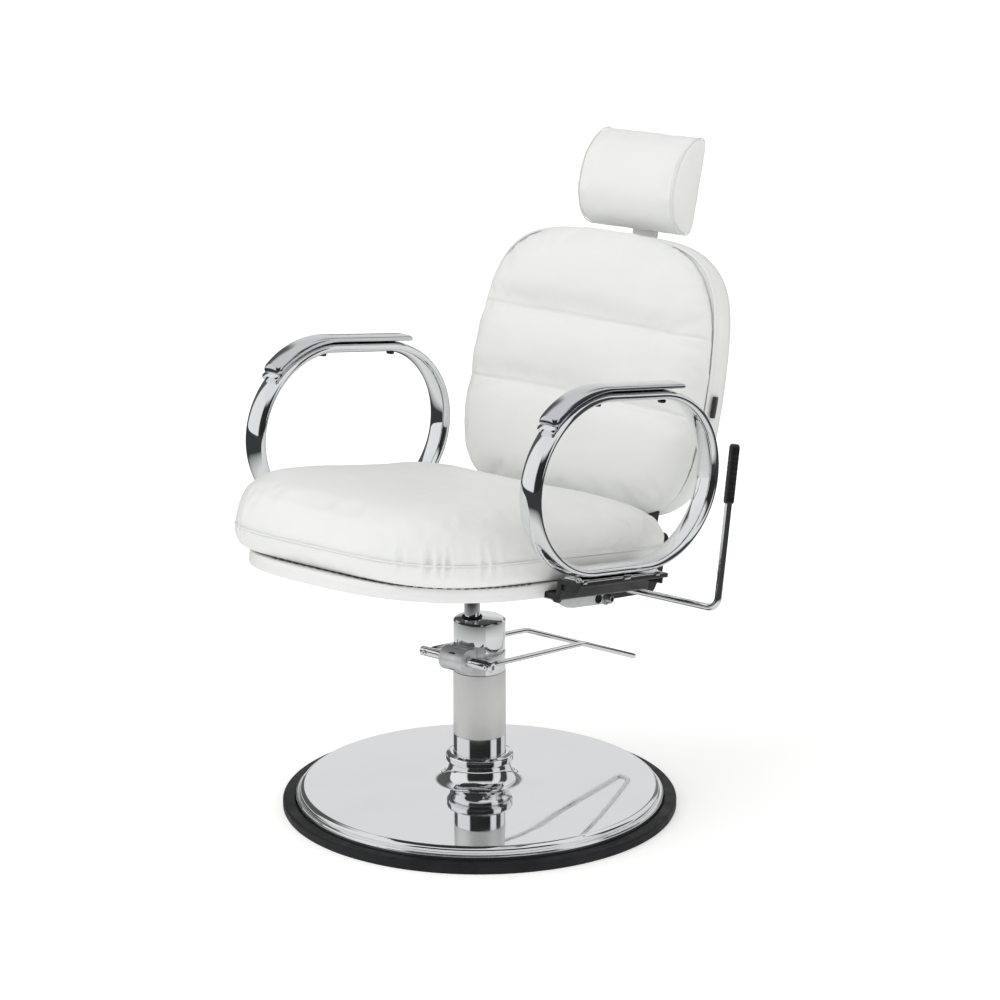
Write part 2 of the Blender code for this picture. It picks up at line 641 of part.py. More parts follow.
def build_arm(seat, side, name):
    """One loop arm: a joggled bracket from under the seat, the flat tube bent into a loop, and its pad."""
    bracket = [(0.130, -0.0600), (0.262, -0.0600), (0.262, -0.0340), (0.298, -0.0340), (0.298, -0.0268),
               (0.254, -0.0268), (0.254, -0.0513), (0.130, -0.0513)]
    bracket = [(side * x, z) for x, z in bracket]
    plate(f"arm_bracket_{name}", bracket, -0.120, 0.115, BLACK_PAINT, seat, plane="XZ")
    x = side * ARM_X
    box(f"arm_strip_{name}", (x - 0.018, -0.114, -0.0265), (x + 0.018, 0.100, -0.0230), CHROME, seat)

    flat = ARM_HALF_WIDTH - ARM_HALF_THICK
    loop = tube(f"arm_loop_{name}", arm_loop_path(), ARM_HALF_THICK, CHROME, seat, cyclic=True, band=flat,
                rotation=UPRIGHT["YZ"])
    loop.location = (x, 0.0, 0.0)
    loop = as_mesh(loop, CHROME, seat)
    flat = PAD_HALF_WIDTH - PAD_HALF_THICK
    pad = tube(f"arm_pad_{name}", arm_pad_path(), PAD_HALF_THICK, CHROME, seat, band=flat,
               rotation=UPRIGHT["YZ"])
    pad.location = (x, 0.0, 0.0)
    pad = as_mesh(pad, CHROME, seat)

    for y, place in ((-0.100, "front"), (0.072, "rear")):
        past_flat = max(0.0, abs(y - ARM_MID[0]) - ARM_FLAT_HALF)
        drop = ARM_END[1] * (1 - math.sqrt(1 - (past_flat / ARM_END[0]) ** 2))
        underside = ARM_MID[1] + ARM_END[1] - ARM_HALF_THICK - drop - 0.0018
        start, end = (x, y, underside - 0.001), (x, y, underside + 0.0230)
        screw = cylinder(f"pad_screw_{name}_{place}", 0.0025, start, end, STEEL, seat, 12)
        start, end = (x, y, underside - 0.0042), (x, y, underside - GAP)
        join(screw, cylinder(f"pad_screw_head_{name}_{place}", 0.0065, start, end, None, seat, 16))
        start, end = (x, y, underside - 0.01), (x, y, underside + 0.0235)
        hole = cylinder(f"pad_screw_hole_{name}_{place}", 0.0029, start, end, None, seat, 12)
        cut(loop, hole)
        cut(pad, hole)


def build_hinges(seat):
    y, z = HINGE_AT
    turns = [math.radians(a) for a in range(175, -51, -25)]
    eye = [(y + 0.020 * math.cos(a), z + 0.020 * math.sin(a)) for a in turns]
    outline = [
        (0.048, -0.0603), (0.207, -0.0603), (0.2170, -0.0300), *eye, (0.246, -0.050), (0.225, -0.085),
        (0.100, -0.088), (0.048, -0.078),
    ]
    for side, name in ((1, "left"), (-1, "right")):
        low, high = sorted((side * 0.1925, side * 0.1975))
        bracket = plate(f"hinge_bracket_{name}", outline, low, high, BLACK_PAINT, seat, plane="YZ")
        near, far = low - 0.01, high + 0.01
        cut(bracket, cylinder(f"axle_hole_{name}", 0.0063, (near, y, z), (far, y, z), None, seat, 20))
        if side > 0:
            hole = cylinder("lever_hole", LEVER_R + 0.0008, (near, *LEVER_AT), (far, *LEVER_AT), None, seat, 20)
            cut(bracket, hole)
    cylinder("recline_axle", 0.0060, (-0.205, y, z), (0.205, y, z), STEEL, seat, 20)


def build_strut(seat):
    """The gas strut that holds the recline: its cylinder swings on the tray's lugs, its rod slides."""
    y, z = STRUT_AT
    pin_y = HINGE_AT[0] - CRANK_LENGTH * math.sin(BACK_LEAN - SEAT_TILT)
    pin_z = HINGE_AT[1] - CRANK_LENGTH * math.cos(BACK_LEAN - SEAT_TILT)
    pitch = math.atan2(pin_z - z, pin_y - y)
    length = math.hypot(pin_z - z, pin_y - y)
    axis = empty("strut_axis", (STRUT_X, y, z), (pitch, 0.0, 0.0), seat)
    body = cylinder("recline_cylinder", 0.0120, (0, 0.012, 0), (0, 0.085, 0), BLACK_PAINT, axis, 24)
    join(body, box("strut_tongue", (-0.0060, -0.0070, -0.0062), (0.0060, 0.0140, 0.0062), parent=axis))
    cut(
        body,
        cylinder("tongue_hole", 0.0053, (-0.01, 0, 0), (0.01, 0, 0), parent=axis, sides=20),
        cylinder("strut_bore", 0.0054, (0, 0.018, 0), (0, 0.09, 0), parent=axis, sides=20),
    )
    rod = cylinder("recline_rod", 0.0050, (0, 0.051, 0), (0, length - 0.012, 0), CHROME, axis, 20)
    join(rod, cylinder("rod_eye", 0.0140, (-0.005, length, 0), (0.005, length, 0), parent=axis, sides=24))
    cut(rod, cylinder("rod_eye_hole", 0.0095, (-0.01, length, 0), (0.01, length, 0), parent=axis, sides=24))


def build_lever(seat):
    """The recline release: a rod out past the arm that turns up beside the sitter's hand."""
    axis = empty("lever_axis", (0.0, *LEVER_AT), parent=seat)
    path = rounded_path([(0.118, 0, 0), (LEVER_OUT, 0, 0), (LEVER_OUT, 0, 0.255)], 0.018, steps=5)
    tube("recline_lever", path, LEVER_R, CHROME, axis, resolution=3)
    grip = cylinder("lever_grip", 0.0084, (LEVER_OUT, 0, 0.170), (LEVER_OUT, 0, 0.265), PLASTIC, axis, 20)
    edge = grip.modifiers.new("rounded ends", "BEVEL")
    edge.width = 0.003
    edge.segments = 2
    start, end = (LEVER_OUT, 0, 0.16), (LEVER_OUT, 0, 0.2555)
    cut(grip, cylinder("grip_bore", LEVER_R + GAP, start, end, None, axis, 20))


# ---------------------------------------------------------------- back and headrest

def build_back(back):
    levels = [  # depth from the seam, inset all round
        (0.0150, 0.010), (0.0100, 0.001), (0.0020, 0.000), (-0.0080, 0.003), (-0.0180, 0.012),
        (-0.0260, 0.030), (-0.0320, 0.062), (-0.0350, 0.105),
    ]
    rings = [[(x, y, z) for x, z in back_outline(inset, SEAT_COUNT)] for y, inset in levels]
    soft_solid("back_cushion", rings, VINYL, back)

    levels = [
        (0.0155, 0.001), (0.0280, -0.003), (0.0440, -0.003), (0.0600, 0.004), (0.0740, 0.018),
        (0.0840, 0.040), (0.0900, 0.075),
    ]
    rings = []
    for y, inset in levels:
        outline = back_outline(inset, SEAT_COUNT, SHELL_HALF_WIDTH, SHELL_CORNER)
        rings.append([(x, y, z) for x, z in outline])
    shell = open_dish("back_shell", rings, 0.004, SHELL, back)
    y, z = BACK_HINGE
    frame = box("back_frame", (-0.180, 0.0160, 0.020), (0.180, 0.0225, 0.360), BLACK_PAINT, back)
    axle = cylinder("axle_tube", 0.0100, (-0.186, y, z), (0.186, y, z), parent=back, sides=24)
    join(frame, axle)
    for side, name in ((1, "left"), (-1, "right")):
        low, high = sorted((side * 0.160, side * 0.180))
        join(frame, box(f"back_leg_{name}", (low, 0.0160, z - 0.004), (high, 0.0225, 0.030), parent=back))
        slot_low, slot_high = (low - 0.004, 0.0120, -0.03), (high + 0.004, 0.0265, 0.030)
        cut(shell, box(f"leg_slot_{name}", slot_low, slot_high, parent=back))
    low = z - CRANK_LENGTH
    for side, name in ((-1, "a"), (1, "b")):
        near, far = sorted((STRUT_X + side * 0.0095, STRUT_X + side * 0.0135))
        join(frame, box(f"crank_{name}", (near, y - 0.0065, low - 0.0065), (far, y + 0.0065, z), parent=back))
    start, end = (STRUT_X - 0.012, y, low), (STRUT_X + 0.012, y, low)
    join(frame, cylinder("crank_pin", 0.0040, start, end, None, back, 16))
    cut(frame, cylinder("axle_bore", 0.0063, (-0.19, y, z), (0.19, y, z), None, back, 20))

    box("back_tag", (0.2500, 0.0200, 0.177), (0.2515, 0.0340, 0.212), TAG, back)

    rear = 0.0903
    guide = box("headrest_guide", (-0.036, rear, GUIDE_FROM), (0.036, 0.1180, GUIDE_TO), PLASTIC, back)
    slot_half, bar_rear = BAR_HALF_WIDTH + 0.0005, BAR_FRONT + BAR_THICK
    cut(
        guide,
        box("bar_slot", (-slot_half, BAR_FRONT - 0.0004, 0.2), (slot_half, bar_rear + 0.0004, 0.5), parent=back),
        cylinder("knob_hole", 0.0045, (0, bar_rear, KNOB_UP), (0, 0.13, KNOB_UP), None, back, 16),
    )
    knob_axis = empty("knob_axis", (0.0, 0.1183, KNOB_UP), (-math.pi / 2, 0.0, 0.0), back)
    turned("headrest_knob", [
        (0.0, 0.0220), (0.0140, 0.0220), (0.0160, 0.0200), (0.0160, 0.0040), (0.0110, 0.0), (0.0040, 0.0),
        (0.0040, -0.0065), (0.0, -0.0065),
    ], PLASTIC, knob_axis, steps=24)


def open_dish(name, rings, wall, material, parent):
    """A shell through rings of points: open at the first, closed at the last, `wall` thick inwards."""
    obj = soft_solid(name, rings, material, parent)
    bm = bmesh.new()
    bm.from_mesh(obj.data)
    front = min(bm.faces, key=lambda face: face.calc_center_median().y + (0 if len(face.verts) > 4 else 1))
    bm.faces.remove(front)
    bm.to_mesh(obj.data)
    bm.free()
    thick = obj.modifiers.new("wall", "SOLIDIFY")
    thick.thickness = wall
    thick.offset = -1.0
    return obj


def build_headrest(back):
    """The headrest and the flat bar it rides on, which slides up along the back."""
    slide = empty("headrest_axis", (0.0, BAR_FRONT, 0.0), parent=back)
    low, high = (-BAR_HALF_WIDTH, 0.0, 0.260), (BAR_HALF_WIDTH, BAR_THICK, 0.560)
    box("headrest_bar", low, high, SATIN, slide, bevel=0.0015)
    box("headrest_plate", (-0.085, -0.0053, 0.475), (0.085, -GAP, 0.600), BLACK_PAINT, slide)
    profile = [
        (0.1000, 0.478), (0.1000, 0.530), (0.1000, 0.580), (0.1000, 0.622), (0.0980, 0.632), (0.0900, 0.636),
        (0.0755, 0.633), (0.0600, 0.623), (0.0455, 0.608), (0.0335, 0.589), (0.0250, 0.566), (0.0220, 0.542),
        (0.0240, 0.518), (0.0300, 0.499), (0.0400, 0.482), (0.0540, 0.470), (0.0710, 0.463), (0.0880, 0.461),
        (0.0970, 0.464),
    ]
    middle = (0.090, 0.550)
    rings = []
    ends = ((1.0, 0.018), (0.975, 0.008), (0.92, 0.002), (0.80, 0.0))
    stations = [(-x, inset) for x, inset in ends] + [(0.0, 0.0)] + list(reversed(ends))
    for x, inset in stations:
        loop = []
        for y, z in profile:
            inward = Vector((middle[0] - y, middle[1] - z)).normalized() * inset
            loop.append((x * HEADREST_HALF_WIDTH, y + inward.x * (y < 0.099) - BAR_FRONT, z + inward.y))
        rings.append(loop)
    soft_solid("headrest_cushion", rings, VINYL, slide)


build_base()
build_column()
build_pump()
SWIVEL = build_lift()
SEAT = empty("seat_frame", (-ROD_AT[0], -ROD_AT[1], SEAT_HEIGHT), (-SEAT_TILT, 0.0, 0.0), SWIVEL)
build_seat(SEAT, SWIVEL)
build_arm(SEAT, 1, "left")
build_arm(SEAT, -1, "right")
build_hinges(SEAT)
build_strut(SEAT)
build_lever(SEAT)
RECLINE = empty("recline_axis", (0.0, *HINGE_AT), (SEAT_TILT - BACK_LEAN, 0.0, 0.0), SEAT)
BACK = empty("back_frame_axes", (0.0, -BACK_HINGE[0], -BACK_HINGE[1]), parent=RECLINE)
build_back(BACK)
build_headrest(BACK)
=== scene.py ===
"""The looks of a hydraulic styling chair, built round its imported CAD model."""
import json
import math

import bmesh
import bpy
import numpy as np
from mathutils import Matrix, Vector, noise


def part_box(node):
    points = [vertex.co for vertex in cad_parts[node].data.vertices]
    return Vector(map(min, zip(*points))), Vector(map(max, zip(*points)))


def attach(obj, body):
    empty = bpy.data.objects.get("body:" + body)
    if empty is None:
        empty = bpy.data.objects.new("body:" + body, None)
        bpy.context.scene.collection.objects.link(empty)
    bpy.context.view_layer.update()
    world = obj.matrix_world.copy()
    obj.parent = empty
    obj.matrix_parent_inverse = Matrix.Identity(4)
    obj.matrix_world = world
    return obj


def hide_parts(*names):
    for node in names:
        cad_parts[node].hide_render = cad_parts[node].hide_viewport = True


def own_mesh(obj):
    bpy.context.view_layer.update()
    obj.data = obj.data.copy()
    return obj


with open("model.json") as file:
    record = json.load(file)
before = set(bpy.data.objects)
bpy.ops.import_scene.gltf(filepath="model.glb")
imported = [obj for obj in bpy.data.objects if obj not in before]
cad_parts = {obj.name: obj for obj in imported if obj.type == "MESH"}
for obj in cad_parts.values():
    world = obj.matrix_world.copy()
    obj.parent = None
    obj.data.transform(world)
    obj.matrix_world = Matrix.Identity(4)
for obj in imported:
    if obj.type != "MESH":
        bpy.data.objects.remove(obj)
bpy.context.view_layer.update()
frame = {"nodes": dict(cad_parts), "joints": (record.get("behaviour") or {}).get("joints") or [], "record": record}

NODES = frame["nodes"]
JOINTS = {joint["name"]: joint for joint in frame["joints"]}
TAU = 2 * math.pi

# ---------------------------------------------------------------- driving dimensions, in metres
SEAT_TILT = math.radians(9.0)
BACK_LEAN = math.radians(15.0)
SEAT_AXES = Matrix.Translation((0.0, 0.0, 0.468)) @ Matrix.Rotation(-SEAT_TILT, 4, "X")
BACK_TURN = Matrix.Rotation(-BACK_LEAN, 4, "X")
BACK_HINGE = Vector((0.0, 0.020, -0.041))  # the recline axle in the back's own axes
BACK_AXES = Matrix.Translation(Vector(JOINTS["back_recline"]["pos_m"]) - BACK_TURN @ BACK_HINGE) @ BACK_TURN

ROD_AT = (-0.012, -0.004)
SHAFT_AT = Vector(JOINTS["pump_pedal_press"]["pos_m"])
COLUMN_R = 0.0431
SLEEVE = (0.1213, 0.2302)  # lower and upper end of the satin sleeve
COLLAR_R = 0.0425
COLLAR = (0.2680, 0.3180)

SEAT_HALF_WIDTH = 0.235
SEAT_ENDS = (-0.416, 0.214)
SEAT_POWERS = (4.0, 18.0)  # superellipse exponents of the front and rear corners
BOARD_POWER = 2.8
BACK_HALF_WIDTH = 0.237
SHELL_HALF_WIDTH = 0.245
BACK_ENDS = (-0.007, 0.451)
BACK_SEAMS = (0.1805, 0.3055)  # heights of the two sewn channels
ARM_X = 0.280
ARM_MID = (-0.011, 0.123)
ARM_FLAT_HALF = 0.066
ARM_END = (0.168, 0.1367)
ARM_HALF = (0.020, 0.009)  # half width and half thickness of the flat oval tube
PAD_HALF = (0.022, 0.0045)
PAD_REAR = 0.107
HEADREST_HALF_WIDTH = 0.103
LEVER_AT = (0.141, -0.072)


# ---------------------------------------------------------------- materials

class Shader:
    """A Principled material with short calls for its procedural detail, in object coordinates."""

    def __init__(self, name, colour, metallic, roughness, **sockets):
        self.material = bpy.data.materials.new(name)
        self.material.use_nodes = True
        self.nodes = self.material.node_tree.nodes
        self.links = self.material.node_tree.links
        self.principled = self.nodes["Principled BSDF"]
        self.set("Base Color", (*colour, 1.0))
        self.set("Metallic", metallic)
        self.set("Roughness", roughness)
        for socket, value in sockets.items():
            self.set(socket.replace("_", " "), value)
        self.place = self.nodes.new("ShaderNodeTexCoord").outputs["Object"]
        self.height = None

    def set(self, socket, value):
        self.principled.inputs[socket].default_value = value

    def stretched(self, scale):
        mapping = self.nodes.new("ShaderNodeMapping")
        mapping.inputs["Scale"].default_value = scale
        self.links.new(self.place, mapping.inputs["Vector"])
        return mapping.outputs["Vector"]

    def noise(self, scale, detail=3.0, stretch=None):
        texture = self.nodes.new("ShaderNodeTexNoise")
        texture.inputs["Scale"].default_value = scale
        texture.inputs["Detail"].default_value = detail
        self.links.new(self.stretched(stretch) if stretch else self.place, texture.inputs["Vector"])
        return texture.outputs["Fac"]

    def cells(self, scale):
        texture = self.nodes.new("ShaderNodeTexVoronoi")
        texture.inputs["Scale"].default_value = scale
        self.links.new(self.place, texture.inputs["Vector"])
        return texture.outputs["Distance"]

    def spread(self, value, low, high, source=(0.3, 0.7)):
        node = self.nodes.new("ShaderNodeMapRange")
        node.inputs["From Min"].default_value = source[0]
        node.inputs["From Max"].default_value = source[1]
        node.inputs["To Min"].default_value = low
        node.inputs["To Max"].default_value = high
        self.links.new(value, node.inputs["Value"])
        return node.outputs["Result"]

    def vary_roughness(self, value, low, high):
        self.links.new(self.spread(value, low, high), self.principled.inputs["Roughness"])

    def vary_colour(self, value, first, second, source=(0.3, 0.7)):
        ramp = self.nodes.new("ShaderNodeValToRGB")
        ramp.color_ramp.elements[0].color = (*first, 1.0)
        ramp.color_ramp.elements[1].color = (*second, 1.0)
        ramp.color_ramp.elements[0].position = source[0]
        ramp.color_ramp.elements[1].position = source[1]
        self.links.new(value, ramp.inputs["Fac"])
        self.links.new(ramp.outputs["Color"], self.principled.inputs["Base Color"])

    def bump(self, value, depth, strength=1.0):
        """Adds relief of this depth in metres; calls stack."""
        node = self.nodes.new("ShaderNodeBump")
        node.inputs["Strength"].default_value = strength
        node.inputs["Distance"].default_value = depth
        self.links.new(value, node.inputs["Height"])
        if self.height:
            self.links.new(self.height, node.inputs["Normal"])
        self.height = node.outputs["Normal"]
        self.links.new(self.height, self.principled.inputs["Normal"])


def make_chrome(name, colour, low, high):
    """Bright plating: wiping marks in its gloss and the slight waviness of polished steel."""
    shader = Shader(name, colour, 1.0, low)
    shader.vary_roughness(shader.noise(28, 6), low, high)
    shader.vary_colour(shader.noise(9, 2), tuple(c * 0.97 for c in colour), colour)
    shader.bump(shader.noise(16, 1), 0.00025, 0.35)
    shader.bump(shader.noise(900, 2), 0.00001, 0.25)
    return shader.material


def make_satin(name, colour, stretch, low, high):
    """Steel with fine lines round it or along it, by how the noise is stretched."""
    shader = Shader(name, colour, 0.55, low, Anisotropic=0.4)
    lines = shader.noise(1.0, 5, stretch)
    shader.vary_roughness(lines, low, high)
    shader.vary_colour(shader.noise(14, 3), tuple(c * 0.93 for c in colour), colour)
    shader.bump(lines, 0.00006, 0.5)
    return shader.material


def make_cast(name, colour, metallic, roughness, grain):
    """Bead-blasted or sand-cast metal: pits at two sizes and darker patches at random."""
    shader = Shader(name, colour, metallic, roughness)
    shader.vary_roughness(shader.noise(60, 4), roughness - 0.08, roughness + 0.1)
    shader.vary_colour(shader.noise(45, 5), tuple(c * 0.78 for c in colour), colour)
    shader.bump(shader.noise(grain, 4), 0.0003, 0.6)
    shader.bump(shader.cells(grain * 1.6), 0.00015, 0.4)
    return shader.material


def make_steel(name, colour):
    """Plain machined or zinc-plated steel."""
    shader = Shader(name, colour, 1.0, 0.32)
    shader.vary_roughness(shader.noise(120, 4), 0.24, 0.42)
    shader.vary_colour(shader.noise(35, 4), tuple(c * 0.8 for c in colour), colour)
    shader.bump(shader.noise(1500, 2), 0.00003, 0.4)
    return shader.material


def make_paint(name, colour, roughness, worn):
    """Sprayed paint with orange peel, dulled a little by handling."""
    shader = Shader(name, colour, 0.0, roughness, Coat_Weight=0.25, Coat_Roughness=0.2)
    shader.vary_roughness(shader.noise(40, 5), roughness - 0.08, roughness + 0.1)
    shader.vary_colour(shader.noise(70, 5), colour, worn)
    shader.bump(shader.noise(420, 2), 0.00008, 0.5)
    return shader.material


def make_moulded(name, colour, roughness, grain, depth, specular):
    """Moulded rubber or plastic with a fine spark-eroded grain."""
    shader = Shader(name, colour, 0.0, roughness, Specular_IOR_Level=specular)
    shader.vary_roughness(shader.noise(35, 5), roughness - 0.07, roughness + 0.1)
    shader.vary_colour(shader.noise(25, 4), tuple(c * 0.75 for c in colour), tuple(c * 1.4 for c in colour))
    shader.bump(shader.noise(grain, 3), depth, 0.6)
    return shader.material


def make_vinyl(name, colour, shade, roughness):
    """White upholstery vinyl: pebbled grain, soft unevenness of the foam, and a faint change of tone."""
    shader = Shader(name, colour, 0.0, roughness, Specular_IOR_Level=0.45, Coat_Weight=0.06,
                    Coat_Roughness=0.3)
    shader.vary_roughness(shader.noise(30, 5), roughness - 0.05, roughness + 0.09)
    shader.vary_colour(shader.noise(6, 4), shade, colour, (0.25, 0.62))
    shader.bump(shader.noise(14, 2), 0.0016, 0.30)
    shader.bump(shader.noise(70, 3), 0.0003, 0.25)
    shader.bump(shader.cells(950), 0.00018, 0.55)
    shader.bump(shader.noise(2600, 2), 0.00006, 0.4)
    return shader.material


def make_cloth(name, colour):
    """A plain woven tab."""
    shader = Shader(name, colour, 0.0, 0.85, Sheen_Weight=0.3, Sheen_Roughness=0.5)
    shader.vary_colour(shader.noise(900, 3), tuple(c * 0.6 for c in colour), tuple(c * 1.8 for c in colour))
    weave = shader.nodes.new("ShaderNodeTexWave")
    weave.inputs["Scale"].default_value = 700
    weave.bands_direction = "Z"
    shader.links.new(shader.place, weave.inputs["Vector"])
    shader.bump(weave.outputs["Fac"], 0.00025, 0.7)
    return shader.material


MATERIALS = {
    "chrome": make_chrome("chrome", (0.86, 0.87, 0.88), 0.025, 0.07),
    "arm_pad_trim": make_chrome("arm_pad_trim", (0.66, 0.67, 0.69), 0.10, 0.17),
    "satin_steel": make_satin("satin_steel", (0.84, 0.84, 0.83), (60, 60, 1400), 0.42, 0.52),
    "cast_alloy": make_cast("cast_alloy", (0.80, 0.81, 0.82), 0.6, 0.44, 700),
    "cast_iron": make_cast("cast_iron", (0.05, 0.05, 0.055), 0.5, 0.6, 420),
    "plain_steel": make_steel("plain_steel", (0.56, 0.57, 0.58)),
    "grey_paint": make_paint("grey_paint", (0.50, 0.51, 0.52), 0.34, (0.56, 0.57, 0.58)),
    "black_paint": make_paint("black_paint", (0.012, 0.012, 0.013), 0.36, (0.022, 0.022, 0.024)),
    "black_rubber": make_moulded("black_rubber", (0.011, 0.0115, 0.013), 0.55, 600, 0.00008, 0.28),
    "black_plastic": make_moulded("black_plastic", (0.010, 0.010, 0.011), 0.27, 900, 0.00004, 0.5),
    "white_vinyl": make_vinyl("white_vinyl", (0.80, 0.805, 0.79), (0.765, 0.775, 0.765), 0.40),
    "white_shell": make_vinyl("white_shell", (0.79, 0.795, 0.78), (0.75, 0.76, 0.75), 0.42),
    "tag_cloth": make_cloth("tag_cloth", (0.012, 0.012, 0.013)),
}


# ---------------------------------------------------------------- shapes

def put(obj, body, slot, *nodes):
    """Gives a finished piece its material and its body, and hides the CAD nodes that it stands for."""
    obj.data.materials.clear()
    obj.data.materials.append(MATERIALS[slot])
    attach(obj, body)
    if nodes:
        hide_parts(*nodes)
    return obj


def mesh_object(name, verts, faces, axes=None, sharp=38):
    mesh = bpy.data.meshes.new(name)
    mesh.from_pydata([tuple(v) for v in verts], [], faces)
    bm = bmesh.new()
    bm.from_mesh(mesh)
    bmesh.ops.remove_doubles(bm, verts=bm.verts, dist=1e-6)
    bmesh.ops.recalc_face_normals(bm, faces=bm.faces)
    if axes is not None:
        bmesh.ops.transform(bm, matrix=axes, verts=bm.verts)
    bm.to_mesh(mesh)
    bm.free()
    mesh.shade_smooth()
    mesh.set_sharp_from_angle(angle=math.radians(sharp))
    obj = bpy.data.objects.new(name, mesh)
    bpy.context.scene.collection.objects.link(obj)
    return obj


def bake(obj):
    """Applies the object's modifiers."""
    bpy.context.view_layer.update()
    graph = bpy.context.evaluated_depsgraph_get()
    mesh = bpy.data.meshes.new_from_object(obj.evaluated_get(graph))
    old = obj.data
    obj.modifiers.clear()
    obj.data = mesh
    bpy.data.meshes.remove(old)
    return obj


def bevelled(obj, width, segments=3, degrees=32):
    edge = obj.modifiers.new("edges", "BEVEL")
    edge.width = width
    edge.segments = segments
    edge.limit_method = "ANGLE"
    edge.angle_limit = math.radians(degrees)
    edge.harden_normals = False
    return bake(obj)


def cut(obj, *cutters):
    for cutter in cutters:
        tool = obj.modifiers.new("cut", "BOOLEAN")
        tool.operation = "DIFFERENCE"
        tool.object = cutter
        bake(obj)
        bpy.data.objects.remove(cutter)
    obj.data.shade_smooth()
    obj.data.set_sharp_from_angle(angle=math.radians(38))
    return obj


def rounded(points, radii, steps=6, closed=False):
    """The polyline with each corner turned into an arc; `radii` is one radius or one for each point."""
    points = [Vector(p) for p in points]
    if not isinstance(radii, (list, tuple)):
        radii = [radii] * len(points)
    out = []
    for i, corner in enumerate(points):
        at_end = not closed and i in (0, len(points) - 1)
        before, after = points[i - 1] - corner, points[(i + 1) % len(points)] - corner
        if at_end or radii[i] <= 0 or before.angle(after) > math.radians(178.5):
            out.append(corner)
            continue
        half = before.angle(after) / 2
        reach = min(radii[i] / math.tan(half), 0.49 * before.length, 0.49 * after.length)
        radius = reach * math.tan(half)
        centre = corner + (before.normalized() + after.normalized()).normalized() * (radius / math.sin(half))
        start = corner + before.normalized() * reach - centre
        end = corner + after.normalized() * reach - centre
        sweep = start.angle(end)
        for k in range(steps + 1):
            f = k / steps
            out.append(centre + (start * math.sin((1 - f) * sweep)
                                 + end * math.sin(f * sweep)) / math.sin(sweep))
    return out


def turned(name, profile, centre=(0.0, 0.0), steps=160, closed=False, axes=None, lobes=(0, 0.0)):
    """A lathe shape about Z through `centre`; `lobes` is a number of flutes and their depth."""
    count, depth = lobes
    verts, faces = [], []
    for r, z in profile:
        for k in range(steps):
            a = TAU * k / steps
            radius = max(0.0, r - depth * (0.5 + 0.5 * math.cos(count * a)) * (r > 0.006)) if count else r
            verts.append((centre[0] + radius * math.cos(a), centre[1] + radius * math.sin(a), z))
    rows = len(profile)
    for row in range(rows if closed else rows - 1):
        low, high = row * steps, (row + 1) % rows * steps
        for k in range(steps):
            j = (k + 1) % steps
            faces.append((low + k, low + j, high + j, high + k))
    return mesh_object(name, verts, faces, axes)


def loft(name, rings, axes=None, caps=(True, True), cyclic=False, sharp=38):
    """A skin through rings with equal numbers of points."""
    count, rows = len(rings[0]), len(rings)
    verts = [p for ring in rings for p in ring]
    faces = []
    for row in range(rows if cyclic else rows - 1):
        low, high = row * count, (row + 1) % rows * count
        for i in range(count):
            j = (i + 1) % count
            faces.append((low + i, low + j, high + j, high + i))
    if caps[0] and not cyclic:
        faces.append(tuple(reversed(range(count))))
    if caps[1] and not cyclic:
        faces.append(tuple((rows - 1) * count + i for i in range(count)))
    return mesh_object(name, verts, faces, axes, sharp)


def prism(name, outline, low, high, plane, axes=None, bevel=0.0):
    """A flat outline made thick along the axis that `plane` leaves out, with its edges broken when `bevel` is
    given.
    """
    spot = {
        "YZ": lambda a, b, h: (h, a, b),
        "XZ": lambda a, b, h: (a, h, b),
        "XY": lambda a, b, h: (a, b, h),
    }[plane]
    obj = loft(name, [[spot(*p, h) for p in outline] for h in (low, high)], axes)
    return bevelled(obj, bevel) if bevel else obj


def block(name, low, high, axes=None, bevel=0.0):
    outline = [(low[0], low[1]), (high[0], low[1]), (high[0], high[1]), (low[0], high[1])]
    return prism(name, outline, low[2], high[2], "XY", axes, bevel)


def rod(name, points, radius, axes=None, cyclic=False, resolution=7):
    """A round bar along points, through a curve that is then made a mesh."""
    curve = bpy.data.curves.new(name, "CURVE")
    curve.dimensions = "3D"
    curve.bevel_depth = radius
    curve.bevel_resolution = resolution
    curve.use_fill_caps = True
    spline = curve.splines.new("POLY")
    spline.points.add(len(points) - 1)
    for point, place in zip(spline.points, points):
        point.co = (*place, 1.0)
    spline.use_cyclic_u = cyclic
    guide = bpy.data.objects.new(name + "_guide", curve)
    bpy.context.scene.collection.objects.link(guide)
    bpy.context.view_layer.update()
    graph = bpy.context.evaluated_depsgraph_get()
    mesh = bpy.data.meshes.new_from_object(guide.evaluated_get(graph))
    bpy.data.objects.remove(guide)
    mesh.name = name
    bm = bmesh.new()
    bm.from_mesh(mesh)
    bmesh.ops.remove_doubles(bm, verts=bm.verts, dist=1e-6)
    if axes is not None:
        bmesh.ops.transform(bm, matrix=axes, verts=bm.verts)
    bm.to_mesh(mesh)
    bm.free()
    mesh.shade_smooth()
    mesh.set_sharp_from_angle(angle=math.radians(40))
    obj = bpy.data.objects.new(name, mesh)
    bpy.context.scene.collection.objects.link(obj)
    return obj


def joined(name, *parts):
    """Several closed shells as one piece."""
    bm = bmesh.new()
    for part in parts:
        bm.from_mesh(part.data)
    mesh = bpy.data.meshes.new(name)
    bm.to_mesh(mesh)
    bm.free()
    for part in parts:
        bpy.data.objects.remove(part)
    mesh.shade_smooth()
    mesh.set_sharp_from_angle(angle=math.radians(38))
    obj = bpy.data.objects.new(name, mesh)
    bpy.context.scene.collection.objects.link(obj)
    return obj


def facing(place, direction):
    """Axes at `place` whose Z points along `direction`."""
    return Matrix.Translation(place) @ Vector(direction).to_track_quat("Z", "Y").to_matrix().to_4x4()


